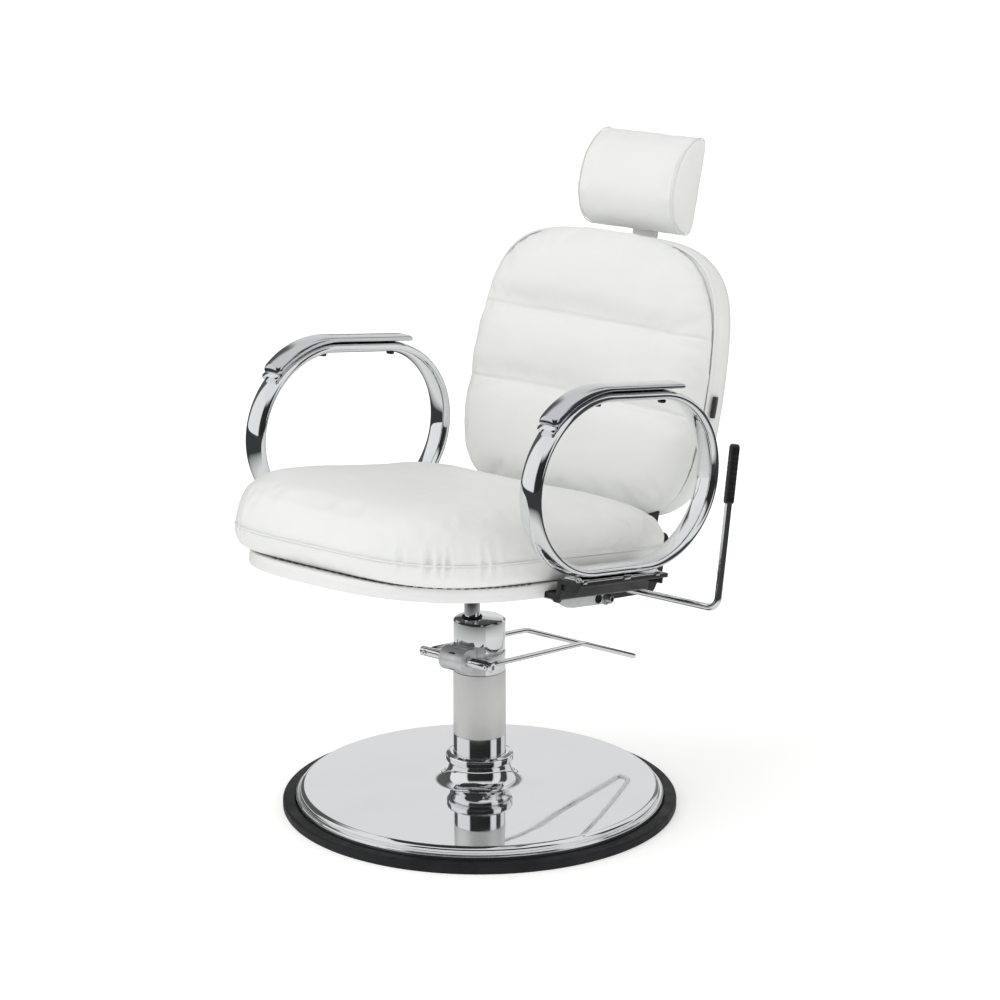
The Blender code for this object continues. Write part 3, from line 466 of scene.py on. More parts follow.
def screw_head(name, radius, height, axes, socket=0.5, steps=40):
    """A domed head with a hexagon socket, standing on the XY plane of its axes."""
    head = turned(name, rounded([(0.0, height), (radius * 0.86, height), (radius, height * 0.45),
                                 (radius, 0.0),
                                 (0.0, 0.0)], [0, radius * 0.5, height * 0.3, 0, 0]), steps=steps)
    if socket:
        hexagon = [(radius * socket * math.cos(TAU * k / 6), radius * socket * math.sin(TAU * k / 6))
                   for k in range(6)]
        cut(head, prism(name + "_socket", hexagon, height * 0.25, height * 2, "XY"))
    head.data.transform(axes)
    return head


def power(value, exponent):
    return math.copysign(abs(value) ** exponent, value)


def seat_outline(inset, count, front_tuck=0.0, rear_tuck=0.0, front_power=SEAT_POWERS[0]):
    front, rear = SEAT_ENDS[0] + front_tuck, SEAT_ENDS[1] - rear_tuck
    middle, half = (front + rear) / 2, (rear - front) / 2 - inset
    outline = []
    for i in range(count):
        t = TAU * (i + 0.5) / count
        corner = front_power if math.sin(t) < 0 else SEAT_POWERS[1]
        outline.append(((SEAT_HALF_WIDTH - inset) * power(math.cos(t), 2 / corner),
                        middle + half * power(math.sin(t), 2 / corner)))
    return outline


def back_outline(inset, count, half_width=BACK_HALF_WIDTH, top_power=3.3):
    middle = sum(BACK_ENDS) / 2
    half = (BACK_ENDS[1] - BACK_ENDS[0]) / 2 - inset
    outline = []
    for i in range(count):
        t = TAU * (i + 0.5) / count
        corner = top_power if math.sin(t) > 0 else 4.0
        s = middle + half * power(math.sin(t), 2 / corner)
        taper = 1 - 0.06 * max(0.0, (s - middle) / half)
        outline.append(((half_width * taper - inset) * power(math.cos(t), 2 / corner), s))
    return outline


def even(outline, count):
    """The closed outline again, with its points evenly spaced."""
    points = np.array(outline + [outline[0]])
    along = np.concatenate([[0.0], np.cumsum(np.linalg.norm(np.diff(points, axis=0), axis=1))])
    wanted = np.linspace(0.0, along[-1], count, endpoint=False)
    return list(zip(*(np.interp(wanted, along, points[:, k]) for k in range(points.shape[1]))))


# ---------------------------------------------------------------- soft goods

def coordinates(obj):
    points = np.zeros(len(obj.data.vertices) * 3)
    obj.data.vertices.foreach_get("co", points)
    return points.reshape(-1, 3)


def store(obj, points):
    obj.data.vertices.foreach_set("co", points.ravel())
    obj.data.update()


def normals(obj):
    values = np.zeros(len(obj.data.vertices) * 3)
    obj.data.vertex_normals.foreach_get("vector", values)
    return values.reshape(-1, 3)


def inflate(obj, voxel, cap, pinned, pressure=4.0, last=20, smoothing=8):
    """Pads a closed form: even mesh, air pressure in cloth held at its seams, at most `cap` of movement."""
    remesh = obj.modifiers.new("even", "REMESH")
    remesh.mode = "VOXEL"
    remesh.voxel_size = voxel
    bake(obj)
    rest = coordinates(obj)
    group = obj.vertex_groups.new(name="seams")
    group.add([int(i) for i in np.nonzero(pinned(rest))[0]], 1.0, "REPLACE")
    cloth = obj.modifiers.new("air", "CLOTH")
    cloth.settings.quality = 4
    cloth.settings.mass = 0.3
    cloth.settings.tension_stiffness = 12
    cloth.settings.compression_stiffness = 12
    cloth.settings.shear_stiffness = 5
    cloth.settings.bending_stiffness = 0.5
    cloth.settings.use_pressure = True
    cloth.settings.uniform_pressure_force = pressure
    cloth.settings.effector_weights.gravity = 0.0
    cloth.settings.vertex_group_mass = group.name
    cloth.settings.shrink_min = -0.02
    cloth.collision_settings.use_collision = False
    cloth.point_cache.frame_start = 1
    cloth.point_cache.frame_end = last
    for step in range(1, last + 1):
        bpy.context.scene.frame_set(step)
    bake(obj)
    moved = coordinates(obj) - rest
    length = np.linalg.norm(moved, axis=1, keepdims=True)
    limited = cap * np.tanh(length / cap)
    store(obj, rest + moved * limited / np.maximum(length, 1e-9))
    bpy.context.scene.frame_set(1)
    obj.vertex_groups.clear()
    calm = obj.modifiers.new("calm", "SMOOTH")
    calm.factor = 0.5
    calm.iterations = smoothing
    bake(obj)
    fine = obj.modifiers.new("fine", "SUBSURF")
    fine.levels = 1
    fine.render_levels = 1
    bake(obj)
    obj.data.shade_smooth()
    return obj


def bell(distance, width):
    return np.exp(-(distance / width) ** 2)


def lumps(points, size, seed):
    """Slow unevenness between -1 and 1, the same on each run."""
    shift = Vector((seed, 2.0 * seed, 3.0 * seed))
    return np.array([noise.noise(Vector(p) / size + shift) for p in points])


def make_seat_cushion():
    slim = 0.005  # the form starts this much smaller, and the air fills it out
    levels = [
        (-0.0366, 0.020, 0.036), (-0.0374, 0.008, 0.024), (-0.0345, 0.002, 0.0175),
        (-0.0280, -0.0005, 0.0130),
        (-0.0180, -0.0015, 0.007), (-0.0080, -0.001, 0.002), (0.0000, 0.0, 0.0), (0.0080, -0.003, 0.0),
        (0.0180, -0.0055, 0.0015), (0.0300, -0.0060, 0.0020), (0.0430, -0.0025, 0.003),
        (0.0540, 0.005, 0.005),
        (0.0630, 0.017, 0.008), (0.0700, 0.034, 0.011), (0.0745, 0.058, 0.014), (0.0775, 0.090, 0.018),
        (0.0790, 0.130, 0.022),
    ]
    rings = []
    for z, inset, tuck in levels:
        rear_tuck = max(0.0, z - 0.014) * 0.50 if z > 0 else (z / 0.0373) ** 2 * 0.020
        rear_tuck += slim * (z > 0.02)
        squeeze = slim * (0.004 < z < 0.05)
        rings.append([(x, y, z) for x, y in even(seat_outline(inset + squeeze, 240, tuck, rear_tuck), 200)])
    obj = loft("seat_cushion_padded", rings)
    inflate(obj, 0.005, 0.007, lambda p: (abs(p[:, 2]) < 0.0035) | (p[:, 2] < -0.033) | (p[:, 1] > 0.188))

    points, outward = coordinates(obj), normals(obj)
    x, y, z = points.T
    side = 1 - np.clip(np.abs(outward[:, 2]), 0, 1) ** 2
    push = np.zeros(len(points))
    push -= 0.0016 * bell(z, 0.0022) * side  # the sewn seam under the piping
    push -= 0.0009 * bell(z - 0.0045, 0.0028) * side
    # Gathers where the top panel is eased round the near front corner.
    for along, depth, width in ((-1.06, 0.0030, 0.0045), (-0.80, 0.0062, 0.0048), (-0.70, 0.0036, 0.0034),
                                (-0.62, 0.0050, 0.0040), (-0.31, 0.0062, 0.0052), (-0.22, 0.0024, 0.0060)):
        for mirror, share in ((1, 1.0), (-1, 0.45)):
            at_x = mirror * SEAT_HALF_WIDTH * power(math.cos(along), 0.5)
            at_y = sum(SEAT_ENDS) / 2 + (SEAT_ENDS[1] - SEAT_ENDS[0]) / 2 * power(math.sin(along), 0.5)
            away = np.hypot(x - at_x, y - at_y)
            fade = bell(z - 0.004, 0.021) * (y < 0)
            push -= share * depth * bell(away, width) * fade
            push += share * 0.45 * depth * bell(away - 2.1 * width, width) * fade
    # The short sewn line on each side near the back, where the side panel meets the rear one.
    bend = 0.101 - 0.022 * np.clip((z - 0.030) / 0.020, 0, 1) ** 2
    push -= 0.0011 * bell(y - bend, 0.0022) * (np.abs(x) > 0.20) * bell(z - 0.026, 0.020)
    # A sitting hollow, and the slow unevenness of foam.
    top = np.clip((outward[:, 2] - 0.4) / 0.6, 0, 1)
    push -= 0.0045 * top * bell(x, 0.13) * bell(y + 0.05, 0.16)
    push += 0.0012 * lumps(points, 0.085, 1.0) + 0.0005 * lumps(points, 0.03, 2.0) * (0.4 + side)
    push[z < -0.034] = 0
    points = points + outward * push[:, None]
    upper = np.clip(points[:, 2] / 0.075, 0, 1.1) ** 1.5
    fall = np.clip((points[:, 1] - 0.02) / 0.19, 0, 1)
    points[:, 2] -= 0.015 * upper * fall ** 2 * (3 - 2 * fall)
    points[:, 2] += 0.0045 * upper * bell(points[:, 0] + 0.15, 0.12) * bell(points[:, 1] + 0.26, 0.13)
    store(obj, points)
    bpy.context.view_layer.update()
    for side, name in ((1, "left"), (-1, "right")):
        line = []
        for py, pz, _ in rounded([Vector((0.066, 0.0500, 0)), Vector((0.097, 0.0430, 0)),
                                  Vector((0.1042, 0.0085, 0))],
                              0.022, 8):
            hit, place, _, _ = obj.ray_cast(Vector((side * 0.30, py, pz)), Vector((-side, 0, 0)))
            if hit:
                line.append((place.x - side * 0.0002, py, pz))
        put(rod(f"side_seam_{name}", line, 0.0008, SEAT_AXES, False, 3), "seat", "white_vinyl")
    obj.data.transform(SEAT_AXES)
    put(obj, "seat", "white_vinyl", "seat_cushion")

    line = [(px, py, 0.0) for px, py in even(seat_outline(-0.0004, 400), 320)]
    put(rod("seat_piping", line, 0.0012, SEAT_AXES, True, 3), "seat", "white_vinyl")
    # Stitches that show in the gap over the pan.
    stitches = []
    path = even(seat_outline(0.003, 600, 0.0200, 0.0, 3.8), 260)
    for i, (px, py) in enumerate(path):
        if py < -0.16 and px > -0.10 and i % 2 == 0:
            nx, ny = path[(i + 1) % len(path)]
            stitches.append(rod(f"stitch_{i}", [(px, py, -0.0366), (nx, ny, -0.0366)], 0.0008, SEAT_AXES,
                                False, 2))
    put(joined("seat_gap_stitches", *stitches), "seat", "black_plastic")


def make_seat_pan():
    """The board under the cushion, wrapped in vinyl, with a deeper lip in front of the arm brackets."""
    top, low, foot = -0.0382, -0.0510, -0.0606
    def ring(inset, z):
        return [(x, y, z) for x, y in even(seat_outline(inset, 300, 0.006, 0.012, BOARD_POWER), 220)]
    board = loft("board", [ring(i, z) for i, z in (
        (0.006, top), (0.0022, top - 0.0003), (0.0006, top - 0.0012), (0.0, top - 0.003), (0.0, low + 0.0022),
        (0.0008, low + 0.0008), (0.0022, low), (0.006, low))])
    lip = loft("lip", [ring(i, z) for i, z in (
        (0.0002, low + 0.004), (0.0002, foot + 0.0028), (0.0009, foot + 0.0010), (0.0026, foot),
        (0.0126, foot),
        (0.0143, foot + 0.0010), (0.0150, foot + 0.0028), (0.0150, low + 0.004))], cyclic=True)
    bm = bmesh.new()
    bm.from_mesh(lip.data)
    everything = bm.verts[:] + bm.edges[:] + bm.faces[:]
    sliced = bmesh.ops.bisect_plane(bm, geom=everything, plane_co=(0, -0.1235, 0), plane_no=(0, 1, 0),
                                    clear_outer=True)
    bmesh.ops.holes_fill(bm, edges=[e for e in sliced["geom_cut"] if isinstance(e, bmesh.types.BMEdge)])
    bm.to_mesh(lip.data)
    bm.free()
    cut(board, block("notch", (0.078, 0.095, -0.08), (0.122, 0.25, -0.03)))
    obj = joined("seat_pan", board, lip)
    obj.data.transform(SEAT_AXES)
    put(obj, "seat", "white_shell", "seat_board")
    # Black lining cloth stapled under the board, clear of the tray and the back's legs.
    lining = [seat_outline(inset, 300, 0.006, 0.022, BOARD_POWER) for inset in (0.018, 0.020)]
    rings = [[(x, max(y, -0.392), z) for x, y in even(lining[k], 200)] for z,
             k in ((-0.0512, 1), (-0.0516, 0), (-0.0522, 0), (-0.0525, 1))]
    cloth = loft("seat_lining_cloth", rings)
    cut(cloth, block("notch", (0.074, 0.091, -0.08), (0.126, 0.25, -0.03)))
    cloth.data.transform(SEAT_AXES)
    put(cloth, "seat", "tag_cloth")


def make_back():
    slim = 0.004
    levels = [
        (0.0158, 0.020), (0.0158, 0.000), (0.0150, -0.0040), (0.0125, -0.0050), (0.0090, -0.0046),
        (0.0040, -0.0036), (-0.0020, -0.0014), (-0.0080, 0.0025), (-0.0140, 0.009), (-0.0190, 0.017),
        (-0.0230, 0.028), (-0.0260, 0.043), (-0.0280, 0.062),
        (-0.0292, 0.086), (-0.0298, 0.115),
    ]
    rings = []
    for n, inset in levels:
        squeeze = slim * (n < 0.004)
        rings.append([(x, n + slim * (n < -0.01), s) for x,
                      s in even(back_outline(inset + squeeze * 0.5, 240), 200)])
    obj = loft("back_cushion_padded", rings)

    def seam_height(x, which):
        return BACK_SEAMS[which] - 0.016 * x - (0.0, 0.10)[which == 0] * x ** 2

    def held(points):
        x, n, s = points.T
        channels = [(np.abs(s - seam_height(x, k)) < 0.0035) & (n < 0.0) for k in (0, 1)]
        return channels[0] | channels[1] | (n > 0.0085)
    inflate(obj, 0.005, 0.006, held)

    points, outward = coordinates(obj), normals(obj)
    x, n, s = points.T
    front = np.clip(-outward[:, 1], 0, 1) ** 0.5
    push = np.zeros(len(points))
    for k, hollow in ((0, 0.0045), (1, 0.0055)):
        off = s - seam_height(x, k)
        hollow = hollow * (1 - 0.6 * np.clip((np.abs(x) - 0.14) / 0.08, 0, 1))
        push -= front * (hollow * bell(off, 0.022) + 0.0026 * bell(off, 0.0020))
        # Short tucks that run away from the stitching.
        ease = np.sin(x * 210 + 2.1 * k) * np.sin(x * 87 + 1.0)
        push -= 0.0007 * front * ease * bell(np.abs(off) - 0.008, 0.009)
    # The border is eased round the upper corners, so it ripples against the shell.
    angle = np.arctan2(s - 0.25, x)
    corner = bell(angle - 0.80, 0.42) + 0.7 * bell(angle - 2.34, 0.36)
    rim = bell(n - 0.004, 0.012)
    push -= 0.0024 * rim * corner * (0.5 + 0.5 * np.sin(angle * 46 + 1.5 * np.sin(angle * 13)))
    # Worn-in shape: hollows over the seams on one side, fuller panels between, a turn near the edges.
    push -= front * 0.0040 * bell(s - 0.325, 0.018) * bell(x + 0.02, 0.10)
    push -= front * 0.0036 * bell(s - 0.197, 0.016) * bell(x + 0.10, 0.09)
    push += front * 0.0030 * bell(s - 0.385, 0.045) * bell(x + 0.06, 0.11)
    push += front * 0.0034 * bell(s - 0.252, 0.030) * bell(x + 0.05, 0.13)
    push -= front * 0.0036 * bell(x - 0.160, 0.030) * bell(s - 0.25, 0.16)
    push += 0.0013 * lumps(points, 0.075, 5.0) + 0.0005 * lumps(points, 0.028, 6.0)
    push[n > 0.0125] = 0
    store(obj, points + outward * push[:, None])
    obj.data.transform(BACK_AXES)
    put(obj, "back", "white_vinyl", "back_cushion")

    wall = 0.004
    flange = 0.040
    outer = [(0.0162, flange), (0.0160, 0.0050), (0.0166, 0.0020), (0.0190, 0.0004), (0.0280, -0.003),
             (0.0440, -0.003), (0.0540, 0.0), (0.0640, 0.0068), (0.0740, 0.018), (0.0810, 0.032),
             (0.0860, 0.050),
             (0.0888, 0.072), (0.0900, 0.100)]
    inner = [(n + wall * (n < 0.02) - wall * (n > 0.05), i + wall * (i < flange)) for n, i in outer]
    rings = [[(x, n, s) for x, s in even(back_outline(i, 260, SHELL_HALF_WIDTH, 4.0), 220)]
             for n, i in outer[::-1] + inner]
    shell = loft("back_shell_wrapped", rings)
    points, outward = coordinates(shell), normals(shell)
    x, n, s = points.T
    push = 0.0008 * lumps(points, 0.09, 8.0) * (n > 0.022)
    store(shell, points + outward * push[:, None])
    shell.data.transform(BACK_AXES)
    put(shell, "back", "white_shell", "back_shell")
    welt = [(x, 0.0146, s) for x, s in even(back_outline(0.0012, 400, SHELL_HALF_WIDTH - 0.001, 4.0), 320)]
    put(rod("back_welt", welt, 0.0023, BACK_AXES, True, 3), "back", "white_shell")
    seam = [(x, 0.0585, s) for x, s in even(back_outline(0.0024, 400, SHELL_HALF_WIDTH, 4.0), 320)]
    put(rod("shell_seam", seam, 0.0010, BACK_AXES, True, 3), "back", "white_shell")

    # A folded cloth tab sewn in the side seam, with no mark on it.
    rows = []
    for k in range(13):
        f = k / 12
        rows.append([(0.2488 + 0.0026 * math.sin(math.pi * f) + d, 0.0195 + 0.0145 * f, s)
                     for s, d in ((0.1770, 0.0), (0.1770, 0.0009), (0.1945, 0.0012), (0.2120, 0.0009),
                                  (0.2120, 0.0),
                                  (0.1945, 0.0))])
    put(loft("side_tab", rows, BACK_AXES), "back", "tag_cloth", "back_tag")


def make_headrest():
    half = HEADREST_HALF_WIDTH
    profile = rounded([(0.0998, 0.470), (0.0998, 0.6300), (0.0900, 0.6355), (0.0680, 0.6290),
                       (0.0455, 0.6080),
                       (0.0300, 0.5810), (0.0240, 0.5500), (0.0255, 0.5150), (0.0400, 0.4830),
                       (0.0640, 0.4650),
                       (0.0900, 0.4610)], [0.004, 0.006, 0.012, 0.03, 0.04, 0.05, 0.05, 0.04, 0.04, 0.03,
                                           0.010],
                      steps=5, closed=True)
    outline = even([tuple(p) for p in profile], 120)
    middle = Vector((0.092, 0.550))
    rings = []
    half_rings = [(1.0, 0.026), (0.995, 0.016), (0.980, 0.009), (0.955, 0.0050), (0.925, 0.0035),
                  (0.85, 0.0035),
                  (0.6, 0.0030), (0.3, 0.0025)]
    for x, inset in [(-x, i) for x, i in half_rings] + [(0.0, 0.0025)] + half_rings[::-1]:
        ring = []
        for n, s in outline:
            inward = (middle - Vector((n, s))).normalized() * inset
            ring.append((x * half, n + inward.x * (n < 0.099), s + inward.y))
        rings.append(ring)
    obj = loft("headrest_cushion_padded", rings)
    seam_x = 0.93 * half
    inflate(obj, 0.0042, 0.006, lambda p: (np.abs(np.abs(p[:, 0]) - seam_x) < 0.003) | (p[:, 1] > 0.0965))
    points, outward = coordinates(obj), normals(obj)
    x, n, s = points.T
    shown = n < 0.095
    push = -0.0014 * bell(np.abs(x) - seam_x, 0.0024) * shown
    push -= 0.0016 * bell(s - 0.548, 0.016) * bell(x + 0.01, 0.06) * (outward[:, 1] < -0.3)
    push += 0.0010 * lumps(points, 0.05, 11.0) * shown
    store(obj, points + outward * push[:, None])
    obj.data.transform(BACK_AXES)
    put(obj, "headrest", "white_vinyl", "headrest_cushion")
    for side, name in ((1, "left"), (-1, "right")):
        line = []
        for n, s in outline:
            inward = (middle - Vector((n, s))).normalized() * 0.0040
            line.append((side * seam_x, n + inward.x * (n < 0.099), s + inward.y))
        put(rod(f"headrest_piping_{name}", line, 0.0010, BACK_AXES, True, 3), "headrest", "white_vinyl")


# ---------------------------------------------------------------- base and column

def make_base():
    put(turned("base_ring_moulded", rounded([
        (0.3045, 0.0145), (0.3065, 0.0155), (0.3225, 0.0152), (0.3250, 0.0118), (0.3250, 0.0022),
        (0.3240, 0.0008),
        (0.3240, 0.0), (0.2600, 0.0), (0.2600, 0.0040), (0.3045, 0.0040)],
        [0.0005, 0.001, 0.003, 0.003, 0.0003, 0.0003, 0.0003, 0.0003, 0.0003, 0.0003], 5, True),
        steps=256, closed=True), "base", "black_rubber", "base_rubber_ring")

    outer = rounded([
        (0.0500, 0.0722), (0.0505, 0.0660), (0.0528, 0.0570), (0.0590, 0.0480), (0.0700, 0.0418),
        (0.0900, 0.0388), (0.1300, 0.0375), (0.2300, 0.0358), (0.2905, 0.0338), (0.2962, 0.0300),
        (0.2966, 0.0240), (0.3012, 0.0232),
        (0.3018, 0.0212), (0.3035, 0.0206), (0.3035, 0.0163)],
        [0, 0.030, 0.035, 0.035, 0.050, 0.12, 0.8, 2.0, 0.0065, 0.005, 0.0012, 0.0008, 0.0006, 0.0008, 0], 8)
    inner = [Vector((r - 0.0016, z - 0.0016 * (r > 0.062) - 0.0008 * (r <= 0.062))) for r, z in outer[:-1]]
    inner.append(Vector((0.3019, 0.0163)))
    put(turned("base_cover_pressed", outer + inner[::-1], steps=256, closed=True), "base", "chrome",
        "base_cover")

    inside = COLUMN_R + 0.0003
    put(turned("escutcheon_bead", rounded([
        (inside, 0.0893), (0.0480, 0.0893), (0.0545, 0.0868), (0.0555, 0.0840), (0.0555, 0.0768),
        (0.0535, 0.0735),
        (0.0500, 0.0726), (inside, 0.0726)], [0.0006, 0.003, 0.0024, 0.002, 0.002, 0.002, 0.001, 0.0004], 5,
        True),
        closed=True), "base", "chrome", "escutcheon_ring")


def make_column():
    step_r, bore = COLUMN_R - 0.0011, 0.0385
    tube_r, foot_r = COLUMN_R - 0.0001, 0.0497
    put(turned("column_polished", [
        (0.0, 0.0163), (bore, 0.0163), (bore, SLEEVE[1]), (step_r, SLEEVE[1]), (step_r, 0.1210),
        (tube_r - 0.0004, 0.1210), (tube_r, 0.1206), (tube_r, 0.0190), (foot_r, 0.0190), (foot_r, 0.0123),
        (0.0, 0.0123)]), "base", "chrome", "column_tube")
    sleeve = turned("column_sleeve_satin", rounded([
        (step_r + 0.0003, SLEEVE[0]), (COLUMN_R, SLEEVE[0]), (COLUMN_R, SLEEVE[1]),
        (step_r + 0.0003, SLEEVE[1])],
        [0.0, 0.0005, 0.0005, 0.0], 4, True), closed=True, steps=720)
    points = coordinates(sleeve)
    weld = math.radians(-10.0)  # the rolled sleeve's weld line
    angle = np.arctan2(points[:, 1], points[:, 0]) - weld
    outside = np.hypot(points[:, 0], points[:, 1]) > COLUMN_R - 0.0006
    points[:, :2] *= (1 - 0.0035 * bell(angle, 0.010) * outside)[:, None]
    store(sleeve, points)
    put(sleeve, "base", "satin_steel", "column_sleeve")

    cast_voxel, cast_smoothing = 0.0008, 7  # the sand-cast skin's fineness, and how far its edges melt
    front_x, front_y = (-0.030, 0.0337), (-0.060, -0.020)  # where the bare casting comes forward to the boss
    head = NODES["pump_head"].copy()
    head.data = NODES["pump_head"].data.copy()
    head.name = "pump_head_cast"
    head.parent = None
    for key in list(head.keys()):
        del head[key]
    bpy.context.scene.collection.objects.link(head)
    skin = head.modifiers.new("skin", "REMESH")
    skin.mode = "VOXEL"
    skin.voxel_size = cast_voxel
    bake(head)
    soft = head.modifiers.new("soft", "SMOOTH")
    soft.factor = 0.5
    soft.iterations = cast_smoothing
    bake(head)
    core_r, groove = 0.0404, (0.2290, 0.2670)  # what is left of the casting under the plated ring
    ring_inside, ring_low, ring_r, ring_top = 0.0407, 0.2307, 0.0428, 0.2630
    band = turned("band", [(core_r, groove[0]), (0.0500, groove[0]), (0.0500, groove[1]), (core_r, groove[1])],
                  closed=True)
    ring = turned("pump_ring_plated", rounded([
        (ring_inside, ring_low), (ring_r, ring_low), (ring_r, ring_top), (ring_inside, ring_top)],
        0.0005, 4, True), closed=True)
    for obj in (band, ring):
        cut(obj, block("front", (front_x[0], front_y[0], 0.20), (front_x[1], front_y[1], 0.30)))
    cut(head, band)
    put(ring, "base", "chrome")
    points, outward = coordinates(head), normals(head)
    store(head, points + outward * (0.00012 * lumps(points, 0.012, 3.0))[:, None])
    head.data.shade_smooth()
    put(head, "base", "cast_alloy", "pump_head")

    low, high = COLLAR
    head_r, gap, bridge_top = 0.0405, 0.0003, 0.2806
    inside = head_r + gap
    cap = turned("collar_cap_plated", rounded([
        (0.0, high), (COLLAR_R - 0.0032, high), (COLLAR_R, high - 0.0032), (COLLAR_R, low), (inside, low),
        (inside, 0.3140), (0.0, 0.3140)], [0, 0.0006, 0.0008, 0.0005, 0.0003, 0.0003, 0], 4), steps=192)
    cut(cap, block("notch", (-0.0270, front_y[0], 0.255), (front_x[1], front_y[1], bridge_top)),
        turned("gland_bore", [(0.0, 0.33), (0.0168, 0.33), (0.0168, 0.31), (0.0, 0.31)], ROD_AT, 96))
    put(cap, "base", "chrome", "collar_cap")
    put(turned("gland_lip", rounded([
        (0.0133, 0.3186), (0.0142, 0.3202), (0.0158, 0.3205), (0.0165, 0.3196), (0.0165, 0.3140),
        (0.0133, 0.3140)],
        [0.0005] * 4 + [0.0, 0.0], 4, True), ROD_AT, 96, True), "base", "black_rubber", "gland_seal")
    put(turned("ram_rod", rounded([
        (0.0, 0.3740), (0.0130, 0.3740), (0.0130, 0.0640), (0.0060, 0.0640), (0.0060, 0.0500), (0.0, 0.0500)],
        [0, 0.0012, 0.0012, 0.0005, 0.001, 0]), ROD_AT, 96), "lift", "chrome", "piston_rod")


def make_spring():
    """The return spring, wound inside the CAD spring's box and carried whole by the plunger."""
    low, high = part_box("plunger_spring")
    middle = (low + high) / 2
    wire, turns, steps = 0.0006, 6, 24
    radius = (high.x - low.x) / 2 - wire
    foot, top = low.z + wire, high.z - wire
    coil = []
    for i in range(turns * steps + 1):
        along, angle = i / (turns * steps), TAU * i / steps
        coil.append((middle.x + radius * math.cos(angle), middle.y + radius * math.sin(angle),
                     foot + (top - foot) * along))
    put(rod("plunger_spring_wound", coil, wire, resolution=2), "plunger", "plain_steel", "plunger_spring")
    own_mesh(bpy.data.objects["plunger_spring_wound"])


def make_pump():
    """The cross shaft with its flats and screws, and the bent pedal."""
    at = Matrix.Translation(SHAFT_AT)
    along_x = Matrix.Rotation(math.pi / 2, 4, "Y")
    shaft = turned("pump_shaft_turned", rounded([
        (0.0, 0.074), (0.0080, 0.074), (0.0080, -0.074), (0.0, -0.074)], [0, 0.0011, 0.0011, 0], 4), steps=96)
    shaft.data.transform(along_x)
    hexagon = [(0.0040 * math.cos(TAU * (k + 0.5) / 6), 0.0040 * math.sin(TAU * (k + 0.5) / 6))
               for k in range(6)]
    for side in (1, -1):
        near, far = sorted((side * 0.034, side * 0.080))
        cut(shaft, block("flat", (near, -0.012, -0.010), (far, -0.0068, 0.010)))
        near, far = sorted((side * 0.0685, side * 0.080))
        cut(shaft, prism("socket", hexagon, near, far, "YZ"))
    bevelled(shaft, 0.0003, 2)
    shaft.data.shade_smooth()
    shaft.data.set_sharp_from_angle(angle=math.radians(38))
    shaft.data.transform(at)
    put(shaft, "pedal", "chrome", "pump_shaft")
    for side, name in ((1, "left"), (-1, "right")):
        place = SHAFT_AT + Vector((side * 0.064, -0.0068, 0.0))
        head = screw_head(f"set_screw_{name}", 0.0044, 0.0026, facing(place, (0, -1, 0)), 0.42)
        put(head, "pedal", "chrome", f"pedal_set_screw_{name}")

    make_spring()
    side = [(0.064, 0.0, 0.0), (0.064, 0.020, 0.0), (0.0595, 0.257, -0.0266), (0.0120, 0.472, -0.1136)]
    path = rounded(side + [(-x, y, z) for x, y, z in reversed(side)],
                   [0, 0.020, 0.045, 0.011, 0.011, 0.045, 0.020, 0], 10)
    put(rod("pump_pedal_bent", path, 0.0045, at), "pedal", "chrome", "pump_pedal")


# ---------------------------------------------------------------- under the seat

def make_hub():
    """The cast hub, cut back so that its foot stays up inside the pan's lip."""
    hub = NODES["swivel_hub"].copy()
    hub.data = NODES["swivel_hub"].data.copy()
    hub.name = "swivel_hub_cast"
    bpy.context.scene.collection.objects.link(hub)
    points = coordinates(hub)
    points[:, 2] = np.maximum(points[:, 2], 0.3545)
    store(hub, points)
    bevelled(hub, 0.0012)
    put(hub, "seat", "cast_iron", "swivel_hub")


